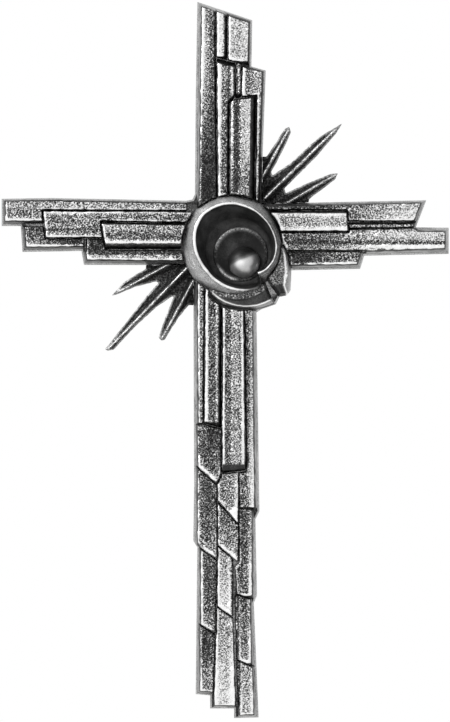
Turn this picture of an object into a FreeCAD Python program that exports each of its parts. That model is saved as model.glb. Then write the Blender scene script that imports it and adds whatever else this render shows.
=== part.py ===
"""Processional cross: a cast relief cross on a backplate, with a staff socket and clamp behind it.

Millimetres. X runs to the viewer's right, Z runs up and the relief faces -Y. The origin is the
centre of the socket's mouth, so the staff comes up the Z axis from below.
"""
import FreeCAD
import Part
import math
import os

V = FreeCAD.Vector

# ---- driving dimensions -------------------------------------------------------------------
STAFF_R = 12.5                    # the standard 25 mm staff
SOCKET_BORE_R = STAFF_R + 0.1
SOCKET_WALL = 2.9
SOCKET_R = SOCKET_BORE_R + SOCKET_WALL
SOCKET_LENGTH = 90.0
MOUTH_CHAMFER = 1.0
CAP_EDGE = 2.0
CAP_DOME = 3.5                    # how high the cap's dome rises over its edge

FLANGE_THICKNESS = 3.0
PLATE_THICKNESS = 5.0
FLANGE_Y = -SOCKET_R              # the tube rests on the flange along a line
PLATE_REAR_Y = FLANGE_Y - FLANGE_THICKNESS
PLATE_FRONT_Y = PLATE_REAR_Y - PLATE_THICKNESS
PLATE_DRAFT = 1.2                 # how far the plate's edge leans in over its thickness

WHIRL_X, WHIRL_Z = 3.7, 260.9     # centre of the whirl's foot
WHIRL_FOOT_R = 31.5
WHIRL_RIM_X, WHIRL_RIM_Z = 5.6, 260.0
WHIRL_RIM_R = 28.0
WHIRL_RISE = 19.0
WHIRL_FLOOR = 3.0
WHIRL_WALL = 2.0
CAVITY_X, CAVITY_Z = 7.5, 257.5   # the hollow's floor sits low and to the right
CAVITY_FLOOR_R = 21.5
CUP_X, CUP_Z = 9.3, 255.0
CUP_R = 17.5
CUP_RISE = 4.5
CUP_WALL = 2.3
CUP_FLOOR = 1.5
BOSS_X, BOSS_Z = 11.2, 250.3
BOSS_R = 10.0
BOSS_TAPPED_DEPTH = 6.0
WHIRL_GAP = 0.1                   # between the whirl's foot and the bars that run up to it
PETAL_DRAFT = 2.0

STUD_R = 4.0                      # M8
STUD_HOLE_R = 4.1
NUT_ACROSS_FLATS = 13.0
NUT_HEIGHT = 6.5
NUT_CHAMFER = 0.6                 # how far the nut's corners are cut back at its free end
STUD_SHOWS = 1.5                  # how far the stud stands out of the nut
WASHER_R = 8.0
WASHER_THICKNESS = 1.6

WEB_THICKNESS = 3.5               # the flat behind each fan's rays
RIDGE_ROOT = 5.5                  # how high a ray's ridge stands on the web at its root
RIDGE_TIP = 2.0
RIDGE_SUNK = 0.5                  # how deep a ridge's foot lies in the web

TIE_WIDTH = 14.0
TIE_THICKNESS = 3.0
TIE_ENDS = ((-33.0, 239.5), (28.0, 296.0))
TIE_PLATE_SCREWS = ((-13.0, 258.0), (9.5, 278.9))

CLAMP_Z = 30.0
CLAMP_HOLE_R = 4.0                # M8 thread, drawn as a plain hole
CLAMP_SHANK_R = 3.95
CLAMP_BOSS_R = 8.0
CLAMP_BOSS_END = 23.5
CLAMP_HEAD_R = 11.0
CLAMP_HEAD_HEIGHT = 9.0
CLAMP_HEAD_CHAMFER = 0.8
CLAMP_HEAD_GAP = 5.5              # from the boss to the head with the screw backed off
CLAMP_PAD_R = 3.93
CLAMP_PAD_THICKNESS = 2.4
CLAMP_STEM_R = 1.5
CLAMP_STEM_LENGTH = 4.8
CLAMP_STEM_HOLE_R = 1.56
CLAMP_STEM_SPARE = 0.3            # between the stem's end and the bottom of its hole
CLAMP_BACKED_OFF = 0.2            # from the bore's wall to the pad with the screw backed off
CLAMP_TIP_GAP = 0.2               # between the pad and the screw's tip
KNURL_COUNT = 24
KNURL_R = 1.1
KNURL_OFFSET = 0.5                # the flutes' centres lie this far outside the head

# thread name: shank radius, clearance in its hole, head radius
THREADS = {
    "M2": (1.0, 0.05, 1.9),
    "M3": (1.5, 0.05, 2.8),
    "M4": (2.0, 0.05, 3.8),
    "M5": (2.5, 0.05, 4.7),
}
BAR_SCREW_BITE = 3.0              # how far a bar's screw hole goes into the bar
SCREW_SPARE = 0.3                 # between a screw's end and the bottom of its hole
HEX_SOCKET_R = 0.75               # as a share of the screw's shank radius
HEX_SOCKET_DEPTH = 0.8
THREAD_GAP = 0.05
OVERCUT = 1.0                     # how far a cutter runs past what it cuts

# how far a bar's wall stands in from its outline at the foot, and at the top
OUTER = (PLATE_DRAFT, 3.1)        # on the cross's edge, in line with the plate's edge
RIM = (PLATE_DRAFT, 2.2)          # the same on a slender bar
GROOVE = (0.1, 0.6)               # facing the next bar
OPEN = (0.1, 1.3)
WIDE = (0.1, 1.6)
BROAD = (0.1, 3.6)
BUTT = (0.1, 0.1)                 # running up to the whirl

# The cross's edge, clockwise from the top left corner.
SILHOUETTE = [
    (-18.0, 413.5), (16.5, 402.0), (16.0, 373.0), (25.0, 370.5), (23.0, 317.0), (22.5, 287.2),
    (125.5, 289.3), (119.0, 272.4), (139.5, 272.1), (139.5, 255.6), (86.6, 254.4),
    (84.0, 246.2), (41.0, 245.3), (40.5, 232.8), (33.7, 229.0), (31.2, 224.0), (22.4, 221.0),
    (19.2, 219.0), (21.0, 94.5), (18.5, 89.5), (19.5, 42.0), (17.5, 37.0), (20.5, -34.6),
    (5.0, -35.0), (5.0, -29.0), (-10.0, -29.0), (-10.0, -20.8), (-19.0, -20.0), (-18.0, 72.0),
    (-20.5, 76.0), (-20.0, 111.0), (-20.5, 248.5), (-89.0, 248.7), (-90.5, 257.4),
    (-127.5, 256.8), (-128.5, 273.0), (-140.5, 273.0), (-140.5, 290.2), (-109.5, 290.7),
    (-25.0, 289.0), (-21.0, 289.8), (-19.5, 293.0), (-19.0, 351.0),
]

# Each bar: the axis it is laid along, its heights at that axis's low and high ends, its screws'
# thread and places, and its outline. An outline's point names the kind of wall that follows it.
BARS = {
    "upper_bar_1": ("z", 6.5, 7.0, "M3", [(-12.3, 390.0), (-12.0, 310.0)], [
        (-18.0, 413.5, OUTER), (-6.0, 409.5, WIDE), (-6.0, 378.0, WIDE), (-5.0, 281.0, BUTT),
        (-19.5, 281.0, OUTER)]),
    "upper_bar_2": ("z", 7.0, 8.5, "M3", [(-2.4, 400.0), (-2.4, 385.0)], [
        (-6.0, 409.5, OUTER), (1.0, 407.2, WIDE), (1.0, 376.2, GROOVE), (-6.0, 378.0, GROOVE)]),
    "upper_bar_3": ("z", 6.5, 7.5, "M3", [(8.7, 396.0), (8.5, 382.0)], [
        (1.0, 407.2, OUTER), (16.5, 402.0, RIM), (16.0, 373.0, GROOVE), (1.0, 376.2, GROOVE)]),
    "upper_bar_4": ("z", 8.0, 8.5, "M3", [(0.0, 366.0), (-1.5, 310.0)], [
        (-6.0, 378.0, BROAD), (6.0, 375.1, GROOVE), (5.5, 352.5, WIDE), (2.5, 349.5, WIDE),
        (2.0, 281.0, BUTT), (-5.0, 281.0, GROOVE)]),
    "upper_bar_5": ("z", 6.0, 6.0, "M2", [(7.8, 370.0), (7.6, 358.0)], [
        (6.0, 375.1, GROOVE), (10.0, 374.2, GROOVE), (9.5, 353.0, GROOVE), (5.5, 352.5, GROOVE)]),
    "upper_bar_6": ("z", 12.0, 11.5, "M3", [(10.5, 340.0), (10.0, 302.0)], [
        (2.5, 349.5, GROOVE), (5.5, 352.5, WIDE), (19.0, 354.0, BROAD), (18.0, 281.0, BUTT),
        (2.0, 281.0, GROOVE)]),
    "upper_bar_7": ("z", 6.5, 6.5, "M2", [(17.0, 364.0), (20.3, 312.0)], [
        (10.0, 374.2, RIM), (25.0, 370.5, RIM), (22.5, 287.5, BUTT), (18.0, 287.5, GROOVE),
        (19.0, 354.0, GROOVE), (9.5, 353.0, GROOVE)]),
    "left_bar_1": ("x", 7.5, 7.0, "M3", [(-130.0, 281.5), (-60.0, 285.4)], [
        (-140.5, 290.2, RIM), (-109.5, 290.7, RIM), (-24.0, 289.0, GROOVE),
        (-24.0, 282.0, GROOVE), (-114.5, 282.5, GROOVE), (-113.5, 273.0, OUTER),
        (-140.5, 273.0, OUTER)]),
    "left_bar_2": ("x", 8.0, 9.0, "M3", [(-96.0, 274.0), (-50.0, 278.4)], [
        (-114.5, 282.5, GROOVE), (-21.0, 282.0, BUTT), (-21.0, 274.5, GROOVE),
        (-78.0, 275.5, GROOVE), (-76.5, 265.2, GROOVE), (-112.5, 265.2, GROOVE)]),
    "left_bar_3": ("x", 11.5, 11.0, "M3", [(-68.0, 266.7), (-38.0, 266.5)], [
        (-78.0, 275.5, WIDE), (-21.0, 274.5, BUTT), (-21.0, 258.3, BROAD), (-75.0, 258.2, GROOVE),
        (-76.5, 265.2, GROOVE)]),
    "left_bar_4": ("x", 5.0, 4.5, "M3", [(-120.5, 265.0), (-99.0, 261.8)], [
        (-128.5, 273.0, GROOVE), (-113.5, 273.0, GROOVE), (-112.5, 265.2, GROOVE),
        (-88.0, 265.2, GROOVE), (-88.0, 257.4, OUTER), (-127.5, 256.8, OUTER)]),
    "left_bar_5": ("x", 6.0, 5.5, "M3", [(-82.5, 257.5), (-45.0, 253.8)], [
        (-88.0, 265.2, GROOVE), (-76.5, 265.2, GROOVE), (-75.0, 258.2, GROOVE),
        (-21.0, 258.3, BUTT), (-21.0, 248.5, OUTER), (-89.0, 248.7, OUTER),
        (-90.5, 257.4, GROOVE), (-88.0, 257.4, OPEN)]),
    "right_bar_1": ("x", 6.5, 6.5, "M2", [(45.0, 284.6), (100.0, 281.8)], [
        (22.5, 287.2, RIM), (125.5, 289.3, OUTER), (120.2, 275.5, GROOVE), (76.0, 275.5, GROOVE),
        (75.5, 282.6, GROOVE), (22.5, 282.4, BUTT)]),
    "right_bar_2": ("x", 10.0, 10.5, "M3", [(46.0, 275.8), (67.0, 275.8)], [
        (22.5, 282.4, WIDE), (75.5, 282.6, GROOVE), (76.5, 269.0, GROOVE), (22.5, 269.0, BUTT)]),
    "right_bar_3": ("x", 8.0, 9.5, "M3", [(60.0, 263.0), (122.0, 263.8)], [
        (22.5, 269.0, GROOVE), (76.5, 269.0, GROOVE), (76.4, 270.7, GROOVE),
        (118.8, 271.6, GROOVE), (119.4, 272.4, OUTER), (139.5, 272.1, OUTER),
        (139.5, 255.6, OUTER), (86.6, 254.4, GROOVE), (87.3, 257.2, GROOVE),
        (22.5, 257.2, BUTT)]),
    "right_bar_4": ("x", 5.5, 5.5, "M3", [(52.0, 251.8), (76.0, 252.0)], [
        (22.5, 257.2, GROOVE), (87.3, 257.2, OUTER), (84.0, 246.2, OUTER), (22.5, 245.1, BUTT)]),
    "right_bar_5": ("x", 4.0, 4.0, "M2", [(88.0, 273.2), (109.0, 273.5)], [
        (76.0, 275.5, GROOVE), (120.2, 275.5, RIM), (118.8, 271.6, GROOVE),
        (76.4, 270.7, GROOVE)]),
    "shaft_bar_1": ("z", 7.0, 6.5, "M3", [(-17.1, 215.0), (-17.1, 160.0)], [
        (-20.5, 250.0, BUTT), (-13.0, 250.0, GROOVE), (-13.8, 149.5, GROOVE),
        (-20.3, 149.0, OUTER)]),
    "shaft_bar_2": ("z", 10.5, 9.0, "M3", [(-8.0, 215.0), (-8.2, 160.0)], [
        (-13.0, 250.0, BUTT), (-2.2, 250.0, WIDE), (-2.6, 146.5, WIDE), (-13.8, 149.5, GROOVE)]),
    "shaft_bar_3": ("z", 12.5, 11.0, "M3", [(4.5, 205.0), (4.8, 135.0)], [
        (-2.2, 250.0, BUTT), (11.0, 250.0, GROOVE), (12.5, 120.0, WIDE), (-2.8, 118.5, GROOVE)]),
    "shaft_bar_4": ("z", 8.5, 4.5, "M3", [(-11.0, 140.0), (-10.5, 124.0)], [
        (-20.3, 149.0, GROOVE), (-13.8, 149.5, GROOVE), (-2.6, 146.5, GROOVE),
        (-2.8, 118.5, GROOVE), (-5.4, 111.6, GROOVE), (-20.0, 124.4, OUTER)]),
    "shaft_bar_5": ("z", 7.0, 6.5, "M3", [(15.6, 205.0), (15.6, 110.0)], [
        (11.0, 250.0, BUTT), (19.0, 250.0, OUTER), (20.9, 96.7, GROOVE), (8.0, 96.7, GROOVE),
        (8.0, 119.5, GROOVE), (12.5, 120.0, GROOVE)]),
    "shaft_bar_6": ("z", 8.0, 4.5, "M3", [(-12.5, 110.0), (-12.5, 82.0)], [
        (-20.0, 124.4, GROOVE), (-5.4, 111.6, GROOVE), (-5.4, 64.7, GROOVE),
        (-20.5, 74.8, OUTER)]),
    "shaft_bar_7": ("z", 9.5, 5.0, "M3", [(3.0, 112.0), (2.0, 99.5)], [
        (-2.8, 118.5, GROOVE), (8.0, 119.5, GROOVE), (8.0, 86.4, GROOVE), (-5.4, 101.3, GROOVE),
        (-5.4, 111.6, GROOVE)]),
    "shaft_bar_8": ("z", 9.0, 5.0, "M3", [(1.0, 87.0), (2.5, 74.5)], [
        (-5.4, 101.3, GROOVE), (8.0, 86.4, GROOVE), (8.0, 62.7, GROOVE), (-5.4, 73.6, GROOVE)]),
    "shaft_bar_9": ("z", 7.5, 5.0, "M3", [(13.4, 84.0), (13.0, 52.0)], [
        (8.0, 96.7, GROOVE), (18.6, 96.7, OUTER), (19.5, 39.5, GROOVE), (6.4, 43.0, GROOVE),
        (5.4, 60.5, GROOVE), (8.0, 63.0, GROOVE)]),
    "shaft_bar_10": ("z", 7.5, 4.5, "M3", [(-11.5, 57.0), (-12.2, 33.0)], [
        (-18.0, 73.0, GROOVE), (-5.4, 64.7, GROOVE), (-6.4, 18.2, GROOVE), (-18.6, 25.6, OUTER)]),
    "shaft_bar_11": ("z", 6.5, 4.5, "M3", [(-13.0, 13.5), (-13.2, 1.5)], [
        (-18.6, 25.6, GROOVE), (-6.4, 18.2, GROOVE), (-7.7, -20.8, OUTER), (-19.0, -20.0, OUTER)]),
    "shaft_bar_12": ("z", 8.5, 5.0, "M3", [(-0.4, 58.0), (-0.6, 42.0)], [
        (-5.4, 73.6, GROOVE), (4.9, 65.2, GROOVE), (4.6, 28.5, GROOVE), (-6.0, 35.6, GROOVE),
        (-5.4, 64.7, GROOVE)]),
    "shaft_bar_13": ("z", 8.0, 4.5, "M3", [(-0.7, 18.0), (-0.7, -18.0)], [
        (-6.0, 35.6, GROOVE), (4.6, 28.5, GROOVE), (6.5, -29.0, OUTER), (-8.0, -29.0, GROOVE),
        (-6.4, 18.2, GROOVE)]),
    "shaft_bar_14": ("z", 7.0, 4.5, "M3", [(11.8, 29.0), (12.2, 10.0)], [
        (5.4, 43.3, GROOVE), (17.6, 39.9, OUTER), (18.9, -2.5, GROOVE), (6.2, 2.2, GROOVE)]),
    "shaft_bar_15": ("z", 7.5, 4.5, "M3", [(13.0, -19.5), (13.4, -28.5)], [
        (6.2, 2.2, GROOVE), (18.9, -2.5, OUTER), (20.5, -34.6, OUTER), (7.5, -35.0, GROOVE)]),
}

# Each fan: its edge, and each ray's root, tip and half widths there.
FANS = {
    "ray_fan_upper": (
        [(20.0, 316.5), (25.5, 316.5), (31.0, 324.5), (37.0, 334.0), (39.5, 335.0), (40.5, 331.5),
         (37.5, 324.5), (33.5, 316.5), (28.3, 307.0), (29.0, 304.5), (39.5, 311.5), (59.0, 329.0),
         (72.5, 337.0), (68.5, 330.5), (56.5, 316.5), (46.0, 306.0), (36.5, 296.5), (37.5, 293.5),
         (50.5, 299.5), (65.5, 305.5), (70.0, 306.0), (68.0, 302.0), (52.0, 290.0), (52.0, 284.0),
         (20.0, 284.0)],
        [((22.0, 302.5), (39.0, 333.0), 3.4, 0.8),
         ((24.0, 290.0), (70.8, 335.4), 4.8, 0.5),
         ((34.0, 284.8), (68.6, 305.0), 4.6, 0.7)],
    ),
    "ray_fan_lower": (
        [(-50.0, 252.0), (-50.0, 246.0), (-55.0, 243.5), (-64.0, 237.5), (-71.5, 229.5),
         (-69.0, 230.0), (-57.0, 235.0), (-43.5, 238.5), (-42.0, 237.5), (-50.0, 228.5),
         (-63.0, 212.0), (-75.5, 196.0), (-74.0, 195.0), (-70.5, 195.5), (-57.0, 210.0),
         (-44.0, 222.0), (-34.0, 229.0), (-32.5, 229.0), (-38.5, 214.0), (-42.0, 203.5),
         (-40.5, 201.5), (-38.5, 202.0), (-30.0, 215.5), (-23.5, 223.5), (-18.0, 223.5),
         (-18.0, 252.0)],
        [((-30.0, 252.2), (-69.6, 230.8), 4.6, 0.5),
         ((-22.5, 248.8), (-73.6, 196.2), 4.8, 0.9),
         ((-20.3, 239.0), (-40.1, 202.8), 3.8, 0.9)],
    ),
}

# Each petal: its height and its edge. The side towards the bowl is cut to the bowl's wall.
LOWER_PETAL = (8.0, [
    (-9.0, 239.0), (3.7, 240.0), (24.0, 239.5), (28.7, 228.5), (31.2, 224.0), (22.4, 221.0),
    (8.7, 219.8), (-2.5, 222.2), (-11.0, 229.0)])
RIGHT_PETAL = (10.0, [
    (36.2, 261.0), (39.3, 254.7), (41.0, 244.5), (40.5, 232.8), (38.0, 229.4), (33.0, 228.5),
    (24.7, 239.5), (22.0, 250.0), (25.0, 262.0)])
LOWER_PETAL_SCREWS = ((6.5, 225.0), (20.5, 227.8))
RIGHT_PETAL_SCREWS = ((36.6, 246.5), (34.2, 234.6))
PETAL_SCREW_BITE = 5.0

BRACKET_WIDTH = 34.0
BRACKET_CORNER_R = 5.0
BRACKET_LOW_Z, BRACKET_HIGH_Z = -17.0, 107.0
BRACKET_SCREWS = [(x, z) for x in (-11.0, 11.0) for z in (-10.0, 100.0)]
CRADLE_SPANS = ((14.0, 22.0), (62.0, 76.0))
CRADLE_HALF_WIDTH = 15.0
CRADLE_Y = -7.0


# ---- shapes that several pieces use -------------------------------------------------------
def inset_corner(before, corner, after, inset_before, inset_after):
    """The corner of an outline moved in from both of its edges by their own distances."""
    def inward(start, end):
        length = math.hypot(end[0] - start[0], end[1] - start[1])
        return ((end[1] - start[1]) / length, -(end[0] - start[0]) / length)
    a, b = inward(before, corner), inward(corner, after)
    cross = a[0] * b[1] - a[1] * b[0]
    if abs(cross) < 0.02:
        return (corner[0] + b[0] * inset_after, corner[1] + b[1] * inset_after)
    return (corner[0] + (inset_before * b[1] - inset_after * a[1]) / cross,
            corner[1] + (inset_after * a[0] - inset_before * b[0]) / cross)


def inset_outline(points, insets):
    """A clockwise outline with each edge moved inwards; insets[i] is for the edge after point i."""
    count = len(points)
    return [inset_corner(points[i - 1], points[i], points[(i + 1) % count],
                         insets[i - 1], insets[i]) for i in range(count)]


def flat_face(corners):
    return Part.Face(Part.makePolygon(corners + corners[:1]))


def wall_faces(a, b, c, d):
    """One flat face through four corners, or two triangles where they aren't in one plane."""
    normal = (b - a).cross(c - a)
    if abs(normal.normalize().dot(d - a)) < 1e-6:
        return [flat_face([a, b, c, d])]
    return [flat_face([a, b, c]), flat_face([a, c, d])]


def solid_between(rear, front):
    """The solid whose rear and front faces are two polygons with the same number of corners."""
    faces = [flat_face(rear), flat_face(front)]
    for i in range(len(rear)):
        j = (i + 1) % len(rear)
        faces += wall_faces(rear[i], rear[j], front[j], front[i])
    shell = Part.makeShell(faces)
    shell.sewShape()
    solid = Part.Solid(shell)
    if solid.Volume < 0:
        solid.reverse()
    return solid


def prism(outline, y_rear, y_front):
    return flat_face([V(x, y_rear, z) for x, z in outline]).extrude(V(0, y_front - y_rear, 0))


def rod(x, z, radius, y_rear, y_front):
    """A cylinder along Y."""
    return Part.makeCylinder(radius, abs(y_front - y_rear), V(x, max(y_rear, y_front), z),
                             V(0, -1, 0))


def disc_loft(rear, front):
    """A round solid between two circles, each given as x, z, radius and y."""
    rings = [Part.Wire(Part.makeCircle(r, V(x, y, z), V(0, 1, 0))) for x, z, r, y in (rear, front)]
    return Part.makeLoft(rings, True, True)


def countersink(x, z, thread, y_rear, grow=0.0):
    """The cone of a countersunk head whose flat top lies in the plane y_rear."""
    shank_r, _, head_r = THREADS[thread]
    head_r += grow
    shank_r += grow
    return Part.makeCone(head_r, shank_r, head_r - shank_r, V(x, y_rear, z), V(0, -1, 0))


def screw(x, z, thread, y_rear, length):
    """A countersunk hexagon-socket screw that goes in from behind."""
    shank_r = THREADS[thread][0]
    body = countersink(x, z, thread, y_rear).fuse(rod(x, z, shank_r, y_rear, y_rear - length))
    socket_r = HEX_SOCKET_R * shank_r
    corners = [V(x + socket_r * math.cos(math.radians(60 * k)), y_rear,
                 z + socket_r * math.sin(math.radians(60 * k))) for k in range(6)]
    return body.cut(flat_face(corners).extrude(V(0, -HEX_SOCKET_DEPTH * shank_r, 0))).removeSplitter()


def screw_hole(x, z, thread, y_rear, length, seat=True):
    """The hole for such a screw, with its countersunk seat where the head lies in this piece."""
    shank_r, clearance, _ = THREADS[thread]
    hole = rod(x, z, shank_r + clearance, y_rear + clearance / 5, y_rear - length)
    return hole.fuse(countersink(x, z, thread, y_rear, clearance)) if seat else hole


# ---- the relief ---------------------------------------------------------------------------
def backplate():
    rear = [V(x, PLATE_REAR_Y, z) for x, z in SILHOUETTE]
    edge = inset_outline(SILHOUETTE, [PLATE_DRAFT] * len(SILHOUETTE))
    plate = solid_between(rear, [V(x, PLATE_FRONT_Y, z) for x, z in edge])
    holes = [screw_hole(x, z, thread, PLATE_REAR_Y, PLATE_THICKNESS + OVERCUT)
             for _, _, _, thread, places, _ in BARS.values() for x, z in places]
    holes += [screw_hole(x, z, "M3", PLATE_REAR_Y, PLATE_THICKNESS + OVERCUT)
              for x, z in LOWER_PETAL_SCREWS + RIGHT_PETAL_SCREWS]
    holes += [screw_hole(x, z, "M4", PLATE_REAR_Y, PLATE_THICKNESS - OVERCUT, seat=False)
              for x, z in TIE_PLATE_SCREWS]
    holes += [screw_hole(x, z, "M5", PLATE_REAR_Y, PLATE_THICKNESS + OVERCUT, seat=False)
              for x, z in BRACKET_SCREWS]
    holes.append(rod(BOSS_X, BOSS_Z, STUD_HOLE_R, PLATE_REAR_Y + OVERCUT,
                     PLATE_FRONT_Y - OVERCUT))
    return plate.cut(holes)


def bar(axis, low_height, high_height, thread, places, outline):
    """A cast bar: a foot on the plate, leaning walls and a flat top that may tilt."""
    points = [(x, z) for x, z, kind in outline]
    foot = inset_outline(points, [kind[0] for x, z, kind in outline])
    top = inset_outline(points, [kind[1] for x, z, kind in outline])
    along = 0 if axis == "x" else 1
    low, high = min(p[along] for p in points), max(p[along] for p in points)
    slope = (high_height - low_height) / (high - low)
    tallest = max(low_height, high_height)
    front = []
    for foot_point, top_point in zip(foot, top):
        lean = (top_point[0] - foot_point[0], top_point[1] - foot_point[1])
        foot_height = low_height + slope * (foot_point[along] - low)
        share = foot_height / (tallest - slope * lean[along])
        front.append(V(foot_point[0] + share * lean[0], PLATE_FRONT_Y - share * tallest,
                       foot_point[1] + share * lean[1]))
    solid = solid_between([V(x, PLATE_FRONT_Y, z) for x, z in foot], front)
    holes = [rod(x, z, THREADS[thread][0] + THREADS[thread][1], PLATE_FRONT_Y + OVERCUT,
                 PLATE_FRONT_Y - BAR_SCREW_BITE) for x, z in places]
    return solid.cut(whirl_clearance() + holes)


def whirl_clearance():
    """What the bars leave free for the bowl and its petals."""
    front = PLATE_FRONT_Y - WHIRL_RISE
    clearance = [rod(WHIRL_X, WHIRL_Z, WHIRL_FOOT_R + WHIRL_GAP, PLATE_FRONT_Y + OVERCUT,
                     front)]
    for height, outline in (LOWER_PETAL, RIGHT_PETAL):
        wider = inset_outline(outline, [-WHIRL_GAP] * len(outline))
        clearance.append(prism(wider, PLATE_FRONT_Y + OVERCUT, front))
    return clearance


def ray_roof(root, tip, root_half, tip_half):
    """The house-shaped top of one ray, from its root to its narrower and lower tip."""
    run = V(tip[0] - root[0], 0, tip[1] - root[1]).normalize()
    side = V(-run.z, 0, run.x)
    web_y = PLATE_REAR_Y - WEB_THICKNESS
    ends = []
    for (x, z), half, rise in ((root, root_half, RIDGE_ROOT), (tip, tip_half, RIDGE_TIP)):
        centre = V(x, web_y + RIDGE_SUNK, z)
        ends.append([centre - side * half, centre + side * half, V(x, web_y - rise, z)])
    return solid_between(ends[0], ends[1])


def ray_fan(outline, rays):
    """Three rays on one web, cut to fit the corner of the plate and the bowl."""
    fan = prism(outline, PLATE_REAR_Y, PLATE_REAR_Y - WEB_THICKNESS)
    fan = fan.fuse([ray_roof(*ray) for ray in rays]).removeSplitter()
    away = [prism(SILHOUETTE, PLATE_REAR_Y + OVERCUT, PLATE_FRONT_Y - WHIRL_RISE),
            rod(WHIRL_X, WHIRL_Z, WHIRL_FOOT_R + WHIRL_GAP, PLATE_FRONT_Y + 0.1,
                PLATE_FRONT_Y - WHIRL_RISE)]
    away += [screw_hole(x, z, "M4", PLATE_REAR_Y, WEB_THICKNESS, seat=False) for x, z in TIE_ENDS]
    return max(fan.cut(away).Solids, key=lambda solid: solid.Volume)


def ray_tie_bar():
    """A flat bar behind the crossing that holds both fans to the plate."""
    (x0, z0), (x1, z1) = TIE_ENDS
    length = math.hypot(x1 - x0, z1 - z0)
    strip = Part.makeBox(length, TIE_THICKNESS, TIE_WIDTH, V(0, 0, -TIE_WIDTH / 2))
    strip.rotate(V(0, 0, 0), V(0, -1, 0), math.degrees(math.atan2(z1 - z0, x1 - x0)))
    strip.translate(V(x0, PLATE_REAR_Y, z0))
    rear = PLATE_REAR_Y + TIE_THICKNESS
    ends = [rod(x, z, TIE_WIDTH / 2, rear, PLATE_REAR_Y) for x, z in TIE_ENDS]
    holes = [screw_hole(x, z, "M4", rear, TIE_THICKNESS + OVERCUT)
             for x, z in TIE_ENDS + TIE_PLATE_SCREWS]
    return strip.fuse(ends).removeSplitter().cut(holes)


# ---- the whirl ----------------------------------------------------------------------------
def whirl_outside():
    return disc_loft((WHIRL_X, WHIRL_Z, WHIRL_FOOT_R, PLATE_FRONT_Y),
                     (WHIRL_RIM_X, WHIRL_RIM_Z, WHIRL_RIM_R, PLATE_FRONT_Y - WHIRL_RISE))


def whirl_bowl():
    """A leaning round bowl whose hollow sits off centre, so its wall thickens to one side."""
    floor_y = PLATE_FRONT_Y - WHIRL_FLOOR
    hollow = disc_loft((CAVITY_X, CAVITY_Z, CAVITY_FLOOR_R, floor_y),
                       (WHIRL_RIM_X, WHIRL_RIM_Z, WHIRL_RIM_R - WHIRL_WALL,
                        PLATE_FRONT_Y - WHIRL_RISE))
    stud_hole = rod(BOSS_X, BOSS_Z, STUD_HOLE_R, PLATE_FRONT_Y + OVERCUT, floor_y - OVERCUT)
    return whirl_outside().cut([hollow, stud_hole])


def whirl_inner_cup():
    floor_y = PLATE_FRONT_Y - WHIRL_FLOOR
    cup = rod(CUP_X, CUP_Z, CUP_R, floor_y, floor_y - CUP_RISE)
    hollow = rod(CUP_X, CUP_Z, CUP_R - CUP_WALL, floor_y - CUP_FLOOR,
                 floor_y - CUP_RISE - OVERCUT)
    stud_hole = rod(BOSS_X, BOSS_Z, STUD_HOLE_R, floor_y + OVERCUT, floor_y - CUP_RISE)
    return cup.cut([hollow, stud_hole])


def whirl_boss():
    """The polished half ball in the cup, tapped from behind for the stud."""
    seat_y = PLATE_FRONT_Y - WHIRL_FLOOR - CUP_FLOOR
    ball = Part.makeSphere(BOSS_R, V(BOSS_X, seat_y, BOSS_Z))
    front_half = Part.makeBox(2 * BOSS_R, BOSS_R, 2 * BOSS_R,
                              V(BOSS_X - BOSS_R, seat_y - BOSS_R, BOSS_Z - BOSS_R))
    tapped = rod(BOSS_X, BOSS_Z, STUD_HOLE_R, seat_y + OVERCUT, seat_y - BOSS_TAPPED_DEPTH)
    return ball.common(front_half).cut(tapped)


def petal(height, outline, places):
    """A drafted block beside the bowl, cut to the bowl's leaning wall."""
    top = inset_outline(outline, [PETAL_DRAFT] * len(outline))
    block = solid_between([V(x, PLATE_FRONT_Y, z) for x, z in outline],
                          [V(x, PLATE_FRONT_Y - height, z) for x, z in top])
    holes = [rod(x, z, THREADS["M3"][0] + THREADS["M3"][1], PLATE_FRONT_Y + OVERCUT,
                 PLATE_FRONT_Y - PETAL_SCREW_BITE) for x, z in places]
    return block.cut([whirl_outside()] + holes)


def whirl_stud():
    front_y = PLATE_FRONT_Y - WHIRL_FLOOR - CUP_FLOOR - BOSS_TAPPED_DEPTH
    rear_y = PLATE_REAR_Y + WASHER_THICKNESS + NUT_HEIGHT + STUD_SHOWS
    return rod(BOSS_X, BOSS_Z, STUD_R, rear_y, front_y)


def whirl_washer():
    rear_y = PLATE_REAR_Y + WASHER_THICKNESS
    return rod(BOSS_X, BOSS_Z, WASHER_R, rear_y, PLATE_REAR_Y).cut(
        rod(BOSS_X, BOSS_Z, STUD_HOLE_R, rear_y + OVERCUT, PLATE_REAR_Y - OVERCUT))


def whirl_nut():
    corner_r = NUT_ACROSS_FLATS / math.sqrt(3)
    front_y = PLATE_REAR_Y + WASHER_THICKNESS
    corners = [V(BOSS_X + corner_r * math.cos(math.radians(60 * k)), front_y,
                 BOSS_Z + corner_r * math.sin(math.radians(60 * k))) for k in range(6)]
    nut = flat_face(corners).extrude(V(0, NUT_HEIGHT, 0))
    rear_y = front_y + NUT_HEIGHT
    cone = Part.makeCone(corner_r + NUT_HEIGHT, corner_r - NUT_CHAMFER, NUT_HEIGHT + NUT_CHAMFER,
                         V(BOSS_X, front_y - NUT_CHAMFER, BOSS_Z), V(0, 1, 0))
    thread = rod(BOSS_X, BOSS_Z, STUD_R + THREAD_GAP, rear_y + OVERCUT, front_y - OVERCUT)
    return nut.common(cone).cut(thread)


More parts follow.
